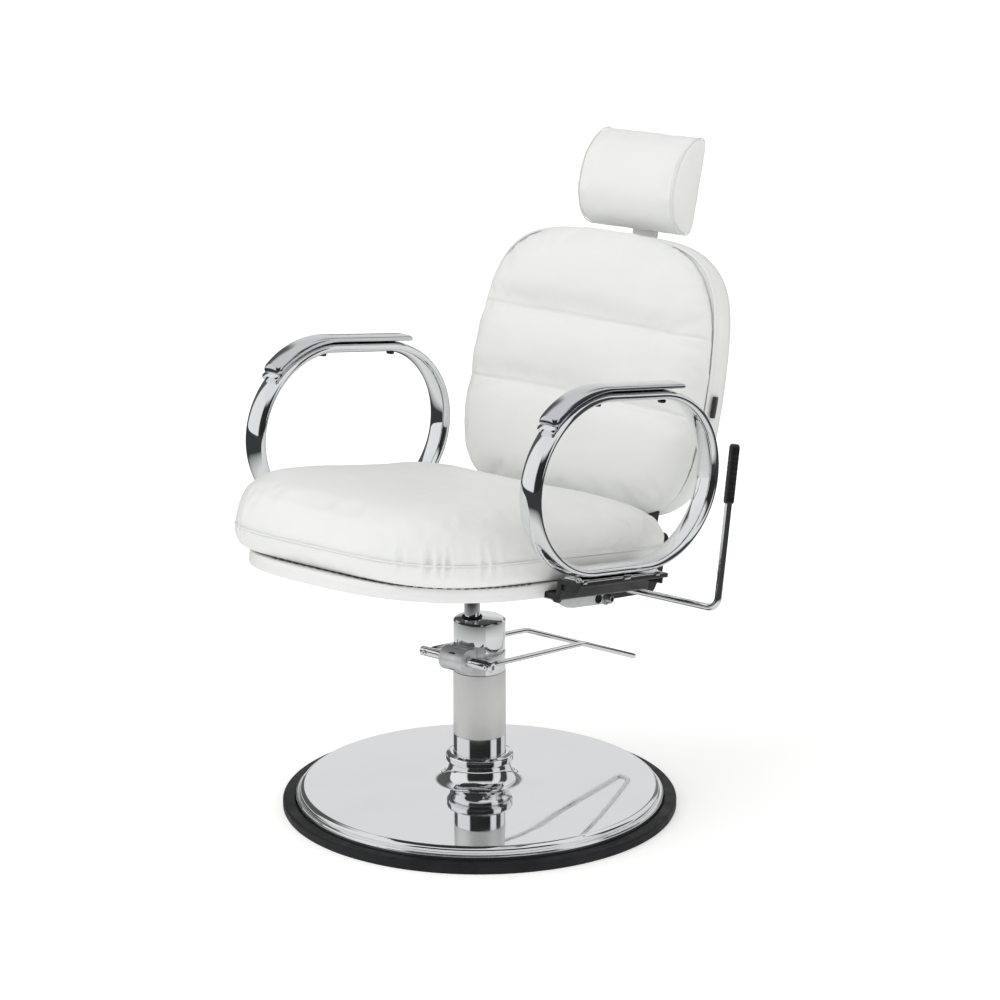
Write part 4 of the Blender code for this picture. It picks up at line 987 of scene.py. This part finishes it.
def make_frame_parts():
    for side, name in ((1, "left"), (-1, "right")):
        bracket = rounded([
            (0.130, -0.0600), (0.262, -0.0600), (0.262, -0.0340), (0.298, -0.0340), (0.298, -0.0268),
            (0.254, -0.0268), (0.254, -0.0513), (0.130, -0.0513)],
            [0.001, 0.003, 0.0012, 0.0012, 0.0012, 0.003, 0.001, 0.001], 4, True)
        parts = [prism("web", [(side * x, z) for x, z in bracket], -0.120, 0.115, "XZ", None, 0.0006)]
        # Stiffening ribs and the hold-down nuts that show at the bracket's front.
        for y in (-0.116, 0.106):
            low, high = sorted((side * 0.2615, side * 0.292))
            parts.append(block("rib", (low, y, -0.0445), (high, y + 0.005, -0.0338), None, 0.0008))
        parts.append(screw_head("nut", 0.0075, 0.0070, facing((side * 0.246, -0.104, -0.0598), (0, 0, -1)),
                                0.0, 6))
        obj = joined(f"arm_bracket_{name}_pressed", *parts)
        obj.data.transform(SEAT_AXES)
        put(obj, "seat", "black_paint", f"arm_bracket_{name}")

        x = side * ARM_X
        strip = block("strip", (x - 0.018, -0.114, -0.0265), (x + 0.018, 0.100, -0.0230), None, 0.0008)
        clips = [strip]
        for y, length in ((-0.109, 0.010), (0.002, 0.016), (0.084, 0.010)):
            low, high = sorted((side * 0.2965, side * 0.3002))
            clips.append(block("clip", (low, y - length / 2, -0.0285), (high, y + length / 2, -0.0215), None,
                               0.0008))
        clips.append(screw_head("front_screw", 0.0052, 0.0040,
                                facing((side * 0.291, -0.1135, -0.0240), (0, -1, 0)), 0.4))
        obj = joined(f"arm_strip_{name}_plated", *clips)
        obj.data.transform(SEAT_AXES)
        put(obj, "seat", "chrome", f"arm_strip_{name}")
        make_arm(side, name)

        low, high = sorted((side * 0.1925, side * 0.1975))
        y, z = 0.2359, -0.0062
        eye = [(y + 0.020 * math.cos(math.radians(a)), z + 0.020 * math.sin(math.radians(a)))
               for a in range(175, -51, -9)]
        outline = rounded([(0.048, -0.0603), (0.207, -0.0603), (0.2170, -0.0300)], [0.002, 0.006, 0], 4) + \
            [Vector(p) for p in eye] + rounded([(0.246, -0.050), (0.225, -0.085), (0.100, -0.088),
                                                (0.048, -0.078)],
                                               [0, 0.012, 0.010, 0], 5)
        plate = prism(f"hinge_plate_{name}", [tuple(p) for p in outline], low, high, "YZ", None, 0.0007)
        plate.data.transform(SEAT_AXES)
        put(plate, "seat", "black_paint", f"hinge_bracket_{name}")

    # The round bolt, and beside it on the tray's near cheek a black disc of painted shade where a dark recess
    # lies.
    axes = SEAT_AXES @ facing((0.2400, 0.034, -0.0720), (1, 0, 0))
    washer = turned("washer", rounded([(0.0, 0.0022), (0.0108, 0.0022), (0.0108, 0.0), (0.0, 0.0)],
                                      [0, 0.0008, 0, 0]),
                    steps=64, axes=axes)
    bolt = screw_head("bolt", 0.0080, 0.0112, axes @ Matrix.Translation((0, 0, 0.0008)), 0.48, 64)
    put(joined("tray_bolt", washer, bolt), "seat", "plain_steel", "channel_bolt")
    # Painted shade: a flat black rubber disc stands where the recess beside the bolt falls into shadow.
    axes = SEAT_AXES @ facing((0.2402, 0.012, -0.0715), (1, 0, 0))
    put(turned("tray_recess_painted_shade", rounded([(0.0, 0.0010), (0.0040, 0.0010), (0.0052, 0.0030), (0.0075, 0.0022),
                                        (0.0075, 0.0), (0.0, 0.0)], [0, 0.0005, 0.001, 0.001, 0, 0], 4),
                                        steps=48,
               axes=axes), "seat", "black_rubber")


def arm_point(angle, offset):
    """A point and outward direction on the loop's rounded ends; 0 is rearmost."""
    a, b = ARM_END
    c, s = math.cos(angle), math.sin(angle)
    out = Vector((c / a, s / b)).normalized()
    centre = ARM_MID[0] + math.copysign(ARM_FLAT_HALF, c)
    return Vector((centre + a * c, ARM_MID[1] + b * s)) + out * offset, out


def lens(half_width, half_thick, exponent=2.1, steps=32):
    """A flat tube's crowned section, between an ellipse and a rectangle."""
    turns = [TAU * k / steps for k in range(steps)]
    return [(half_width * power(math.cos(t), 2 / exponent), half_thick * power(math.sin(t), 2 / exponent))
            for t in turns]


def sweep(name, stations, section, cyclic=False):
    """A section along planar stations (point, outward, scale across, scale thick) at the arm's X."""
    rings = []
    for (y, z), out, across, thick, x in stations:
        rings.append([(x + a * across, y + out.x * b * thick, z + out.y * b * thick) for a, b in section])
    return loft(name, rings, cyclic=cyclic)


def make_arm(side, name):
    x = side * ARM_X
    quarter = 34
    angles = [(-90 + 90 * k / quarter) for k in range(2 * quarter + 1)]
    stations = []
    for half_turn in (0, 180):
        for degrees in angles:
            angle = math.radians(degrees + half_turn)
            c = math.cos(angle) if abs(math.cos(angle)) > 1e-9 else math.copysign(1e-9,
                math.cos(math.radians(half_turn)))
            a, b = ARM_END
            out = Vector((c / a, math.sin(angle) / b)).normalized()
            centre = ARM_MID[0] + (ARM_FLAT_HALF if half_turn == 0 else -ARM_FLAT_HALF)
            stations.append(((centre + a * c, ARM_MID[1] + b * math.sin(angle)), out, 1.0, 1.0, x))
    loop = sweep(f"arm_loop_{name}_tube", stations, lens(*ARM_HALF), True)
    loop.data.transform(SEAT_AXES)
    put(loop, "seat", "chrome", f"arm_loop_{name}")

    lift = ARM_HALF[1] + PAD_HALF[1] + 0.0003
    top = ARM_MID[1] + ARM_END[1] + lift
    line = []
    for k in range(41):
        f = k / 40
        line.append((Vector((PAD_REAR + (ARM_MID[0] - ARM_FLAT_HALF - PAD_REAR) * f, top)), Vector((0, 1))))
    for k in range(1, 49):
        line.append(arm_point(math.radians(90.5 + 51.5 * k / 48), lift))
    # Beyond the straight rear part the loop falls away, so the pad follows it down a little.
    length = [0.0]
    for (p, _), (q, _) in zip(line, line[1:]):
        length.append(length[-1] + (q - p).length)
    total = length[-1]
    stations = []
    for (point, out), run in zip(line, length):
        rear, nose = min(1.0, run / 0.008), min(1.0, (total - run) / 0.012)
        close = min(math.sqrt(1 - (1 - rear) ** 2), math.sqrt(1 - (1 - nose) ** 2))
        # Over the bend the pad thickens and narrows to a blunt nose that hugs the tube.
        bend = np.clip((run / total - 0.55) / 0.40, 0, 1)
        thick = 1.0 + 0.85 * bend
        stations.append((tuple(point + out * (PAD_HALF[1] * (thick - 1) * 0.85)), out,
                         (0.70 + 0.30 * close) * (1 - 0.20 * bend ** 2), max(0.10, close) * thick, x))
    crowned = [(a, b + 0.0016 * (1 - (a / PAD_HALF[0]) ** 2) * (b > 0)) for a, b in lens(*PAD_HALF, 3.2, 40)]
    pad = sweep(f"arm_pad_{name}_moulded", stations, crowned)
    pad.data.transform(SEAT_AXES)
    put(pad, "seat", "arm_pad_trim", f"arm_pad_{name}")
    # A bright ferrule closes the pad's nose, past a dark joint line.
    ferrule = []
    for k in range(9):
        angle = math.radians(141.6 + 3.4 * k / 8)
        point, out = arm_point(angle, ARM_HALF[1] + 0.0044)
        bulge = 0.90 + 0.10 * math.sin(math.pi * (0.1 + 0.9 * k / 8))
        ferrule.append((tuple(point), out, bulge, bulge, x))
    cap = sweep(f"arm_pad_nose_{name}", ferrule, lens(0.0172, 0.0064))
    cap.data.transform(SEAT_AXES)
    put(cap, "seat", "chrome")

    for y, place in ((-0.100, "front"), (0.072, "rear")):
        past = max(0.0, abs(y - ARM_MID[0]) - ARM_FLAT_HALF)
        drop = ARM_END[1] * (1 - math.sqrt(1 - (past / ARM_END[0]) ** 2))
        under = ARM_MID[1] + ARM_END[1] - ARM_HALF[1] - drop
        head = screw_head(f"pad_screw_head_{name}_{place}", 0.0066, 0.0042,
                          facing((x, y, under - 0.0004), (0, 0, -1)), 0.4)
        head.data.transform(SEAT_AXES)
        put(head, "seat", "black_plastic", f"pad_screw_{name}_{place}")


def make_lever():
    axes = SEAT_AXES @ Matrix.Translation((0.0, *LEVER_AT))
    reach, tall = 0.380, 0.255
    path = rounded([(0.118, 0, 0), (reach, 0, 0), (reach, 0, tall)], 0.018, steps=12)
    put(rod("recline_lever_bent", path, 0.0057, axes), "lever", "chrome", "recline_lever")
    low, high = 0.170, 0.265
    outline = [(0.0060, low), (0.0074, low), (0.0084, low + 0.003)]
    for k in range(9):  # shallow finger rings
        z = low + 0.012 + 0.008 * k
        outline += [(0.0084, z - 0.0012), (0.0080, z), (0.0084, z + 0.0012)]
    outline += [(0.0084, high - 0.005), (0.0066, high - 0.0008), (0.0, high)]
    grip = turned("lever_grip_ribbed", rounded(outline, 0.0025, 4), steps=64,
                  axes=axes @ Matrix.Translation((reach, 0, 0)))
    put(grip, "lever", "black_plastic", "lever_grip")


def make_headrest_hardware():
    rear = 0.0903
    guide = loft("guide", [[(x, n, s) for x, s in even([tuple(p) for p in rounded(
        [(-half, low), (half, low), (half, high), (-half, high)], 0.008, 6, True)], 96)]
        for n, half, low, high in ((rear, 0.036, 0.280, 0.375), (0.1140, 0.036, 0.280, 0.375),
                                   (0.1165, 0.0350, 0.281, 0.374), (0.1180, 0.0325, 0.2835, 0.3715))])
    cut(guide, block("slot", (-0.0255, 0.1054, 0.2), (0.0255, 0.1112, 0.5)))
    guide.name = "headrest_guide_moulded"
    guide.data.transform(BACK_AXES)
    put(guide, "back", "black_plastic", "headrest_guide")
    for k, (x, s) in enumerate(((-0.029, 0.290), (0.029, 0.290), (-0.029, 0.365), (0.029, 0.365))):
        screw = screw_head(f"guide_screw_{k}", 0.0036, 0.0018, facing((x, 0.1176, s), (0, 1, 0)), 0.45)
        screw.data.transform(BACK_AXES)
        put(screw, "back", "plain_steel")
    axes = BACK_AXES @ facing((0.0, 0.1183, 0.330), (0, 1, 0))
    knob = turned("headrest_knob_fluted", rounded([
        (0.0, 0.0212), (0.0090, 0.0216), (0.0140, 0.0220), (0.0160, 0.0196), (0.0160, 0.0044), (0.0110, 0.0),
        (0.0040, 0.0), (0.0040, -0.0065), (0.0, -0.0065)],
        [0, 0.003, 0.002, 0.002, 0.002, 0.001, 0.0005, 0.0005, 0],
        5), steps=192, axes=axes, lobes=(12, 0.0012))
    put(knob, "knob", "black_plastic", "headrest_knob")
    front, thick = 0.1058, 0.0050
    outline = rounded([(-0.025, 0.260), (0.025, 0.260), (0.025, 0.560), (-0.025, 0.560)], 0.006, 6, True)
    bar = prism("headrest_bar_flat", [tuple(p) for p in outline], front, front + thick, "XZ", None, 0.0009)
    bar.data.transform(BACK_AXES)
    put(bar, "headrest", "satin_steel", "headrest_bar")


# ---------------------------------------------------------------- scene

def dress_cad_nodes():
    """Procedural finishes for the CAD pieces that stay: ballast plate, hub, tray, strut and pump works."""
    slots = {row["node"]: row["material_slot"] for row in frame["record"]["subparts"]}
    for name, node in NODES.items():
        node.data.materials.clear()
        node.data.materials.append(MATERIALS[slots[name]])
        node.data.shade_smooth()
        node.data.set_sharp_from_angle(angle=math.radians(30))


def make_world():
    """Soft white light all round; polished metal sees a studio of bright panels and dark gaps instead."""
    world = bpy.data.worlds.new("studio")
    bpy.context.scene.world = world
    world.use_nodes = True
    nodes, links = world.node_tree.nodes, world.node_tree.links
    nodes.clear()
    output = nodes.new("ShaderNodeOutputWorld")
    soft = nodes.new("ShaderNodeBackground")
    soft.inputs["Color"].default_value = (1.0, 1.0, 0.995, 1.0)
    soft.inputs["Strength"].default_value = 0.74
    panels = nodes.new("ShaderNodeBackground")
    pick = nodes.new("ShaderNodeMixShader")
    path = nodes.new("ShaderNodeLightPath")
    links.new(path.outputs["Is Glossy Ray"], pick.inputs["Fac"])
    links.new(soft.outputs[0], pick.inputs[1])
    links.new(panels.outputs[0], pick.inputs[2])
    backdrop = nodes.new("ShaderNodeBackground")
    backdrop.inputs["Color"].default_value = (0.985, 0.99, 0.985, 1.0)
    seen = nodes.new("ShaderNodeMixShader")
    links.new(path.outputs["Is Camera Ray"], seen.inputs["Fac"])
    links.new(pick.outputs[0], seen.inputs[1])
    links.new(backdrop.outputs[0], seen.inputs[2])
    links.new(seen.outputs[0], output.inputs["Surface"])

    place = nodes.new("ShaderNodeTexCoord").outputs["Generated"]
    split = nodes.new("ShaderNodeSeparateXYZ")
    links.new(place, split.inputs[0])
    turn = nodes.new("ShaderNodeMath")
    turn.operation = "ARCTAN2"
    links.new(split.outputs["Y"], turn.inputs[0])
    links.new(split.outputs["X"], turn.inputs[1])
    around = nodes.new("ShaderNodeMapRange")
    around.inputs["From Min"].default_value = -math.pi
    around.inputs["From Max"].default_value = math.pi
    links.new(turn.outputs[0], around.inputs["Value"])
    bands = nodes.new("ShaderNodeValToRGB")
    links.new(around.outputs["Result"], bands.inputs["Fac"])
    # Brightness by heading in degrees from +X: lit panels with dark gaps of the room between them.
    stops = ((-180, 0.10), (-173, 0.10), (-168, 0.95), (-100, 0.92), (-94, 0.03), (-4, 0.02), (2, 0.85),
             (26, 0.90),
             (31, 0.06), (56, 0.06), (61, 0.80), (96, 0.84), (100, 0.20), (110, 0.25), (116, 0.84),
             (138, 0.86),
             (144, 0.12), (180, 0.10))
    ramp = bands.color_ramp
    ramp.elements[0].position = 0.0
    ramp.elements[1].position = 1.0
    for heading, level in stops[1:-1]:
        ramp.elements.new((heading + 180) / 360)
    for element, (heading, level) in zip(ramp.elements, stops):
        element.position = (heading + 180) / 360
        element.color = (level, level, level, 1.0)
    # Higher up the bands give way to an even overhead panel.
    height = nodes.new("ShaderNodeMapRange")
    height.interpolation_type = "SMOOTHSTEP"
    height.inputs["From Min"].default_value = 0.60
    height.inputs["From Max"].default_value = 0.80
    links.new(split.outputs["Z"], height.inputs["Value"])
    mix = nodes.new("ShaderNodeMix")
    mix.data_type = "RGBA"
    links.new(height.outputs["Result"], mix.inputs["Factor"])
    links.new(bands.outputs["Color"], mix.inputs["A"])
    mix.inputs["B"].default_value = (0.88, 0.89, 0.90, 1.0)
    links.new(mix.outputs["Result"], panels.inputs["Color"])
    panels.inputs["Strength"].default_value = 0.92


def make_stage():
    floor = block("studio_floor", (-40, -40, -0.05), (40, 40, 0.0))
    shader = Shader("pale_floor", (0.90, 0.90, 0.895), 0.0, 0.9, Specular_IOR_Level=0.0)
    shader.set("Emission Color", (1.0, 1.0, 0.995, 1.0))
    shader.set("Emission Strength", 0.30)
    shader.vary_colour(shader.noise(0.8, 2), (0.895, 0.897, 0.89), (0.905, 0.905, 0.90))
    # Polished metal sees the lit paper end a pace or two away, and the unlit room past it.
    nodes, links = shader.nodes, shader.links
    distance = nodes.new("ShaderNodeVectorMath")
    distance.operation = "LENGTH"
    links.new(shader.place, distance.inputs[0])
    path = nodes.new("ShaderNodeLightPath")
    far = nodes.new("ShaderNodeMath")
    far.operation = "MULTIPLY"
    links.new(shader.spread(distance.outputs["Value"], 0.36, 1.0, (0.85, 1.7)), far.inputs[0])
    links.new(path.outputs["Is Glossy Ray"], far.inputs[1])
    unlit = nodes.new("ShaderNodeEmission")
    unlit.inputs["Color"].default_value = (0.045, 0.046, 0.048, 1.0)
    mix = nodes.new("ShaderNodeMixShader")
    links.new(far.outputs[0], mix.inputs["Fac"])
    links.new(shader.principled.outputs[0], mix.inputs[1])
    links.new(unlit.outputs[0], mix.inputs[2])
    links.new(mix.outputs[0], nodes["Material Output"].inputs["Surface"])
    floor.data.materials.append(shader.material)

    for name, heading, height, strength, spread in (("key", -120, 50, 0.85, 50), ("fill", -20, 35, 0.30, 70)):
        light = bpy.data.lights.new(name, "SUN")
        light.energy = strength
        light.angle = math.radians(spread)
        lamp = bpy.data.objects.new(name, light)
        a, e = math.radians(heading), math.radians(height)
        toward = Vector((math.cos(a) * math.cos(e), math.sin(a) * math.cos(e), math.sin(e)))
        lamp.rotation_euler = toward.to_track_quat("Z", "Y").to_euler()
        lamp.visible_glossy = False
        bpy.context.scene.collection.objects.link(lamp)


def make_camera():
    """The photograph's view: from the chair's front left, a little above it."""
    place = Vector((3.1188, -3.8620, 1.8743))
    forward = Vector((-0.60093, 0.75450, -0.26386)).normalized()
    right = Vector((0.78222, 0.62301, 0.0)).normalized()
    up = right.cross(forward)
    data = bpy.data.cameras.new("camera")
    data.lens = 114.87
    data.sensor_width = 36.0
    data.clip_end = 200.0
    camera = bpy.data.objects.new("camera", data)
    camera.matrix_world = Matrix((
        (right.x, up.x, -forward.x, place.x), (right.y, up.y, -forward.y, place.y),
        (right.z, up.z, -forward.z, place.z), (0.0, 0.0, 0.0, 1.0)))
    bpy.context.scene.collection.objects.link(camera)
    bpy.context.scene.camera = camera
    bpy.context.scene.view_settings.view_transform = "Standard"


dress_cad_nodes()
make_base()
make_column()
make_pump()
make_hub()
make_frame_parts()
make_lever()
make_seat_pan()
make_seat_cushion()
make_back()
make_headrest()
make_headrest_hardware()
make_world()
make_stage()
make_camera()

bpy.context.view_layer.update()
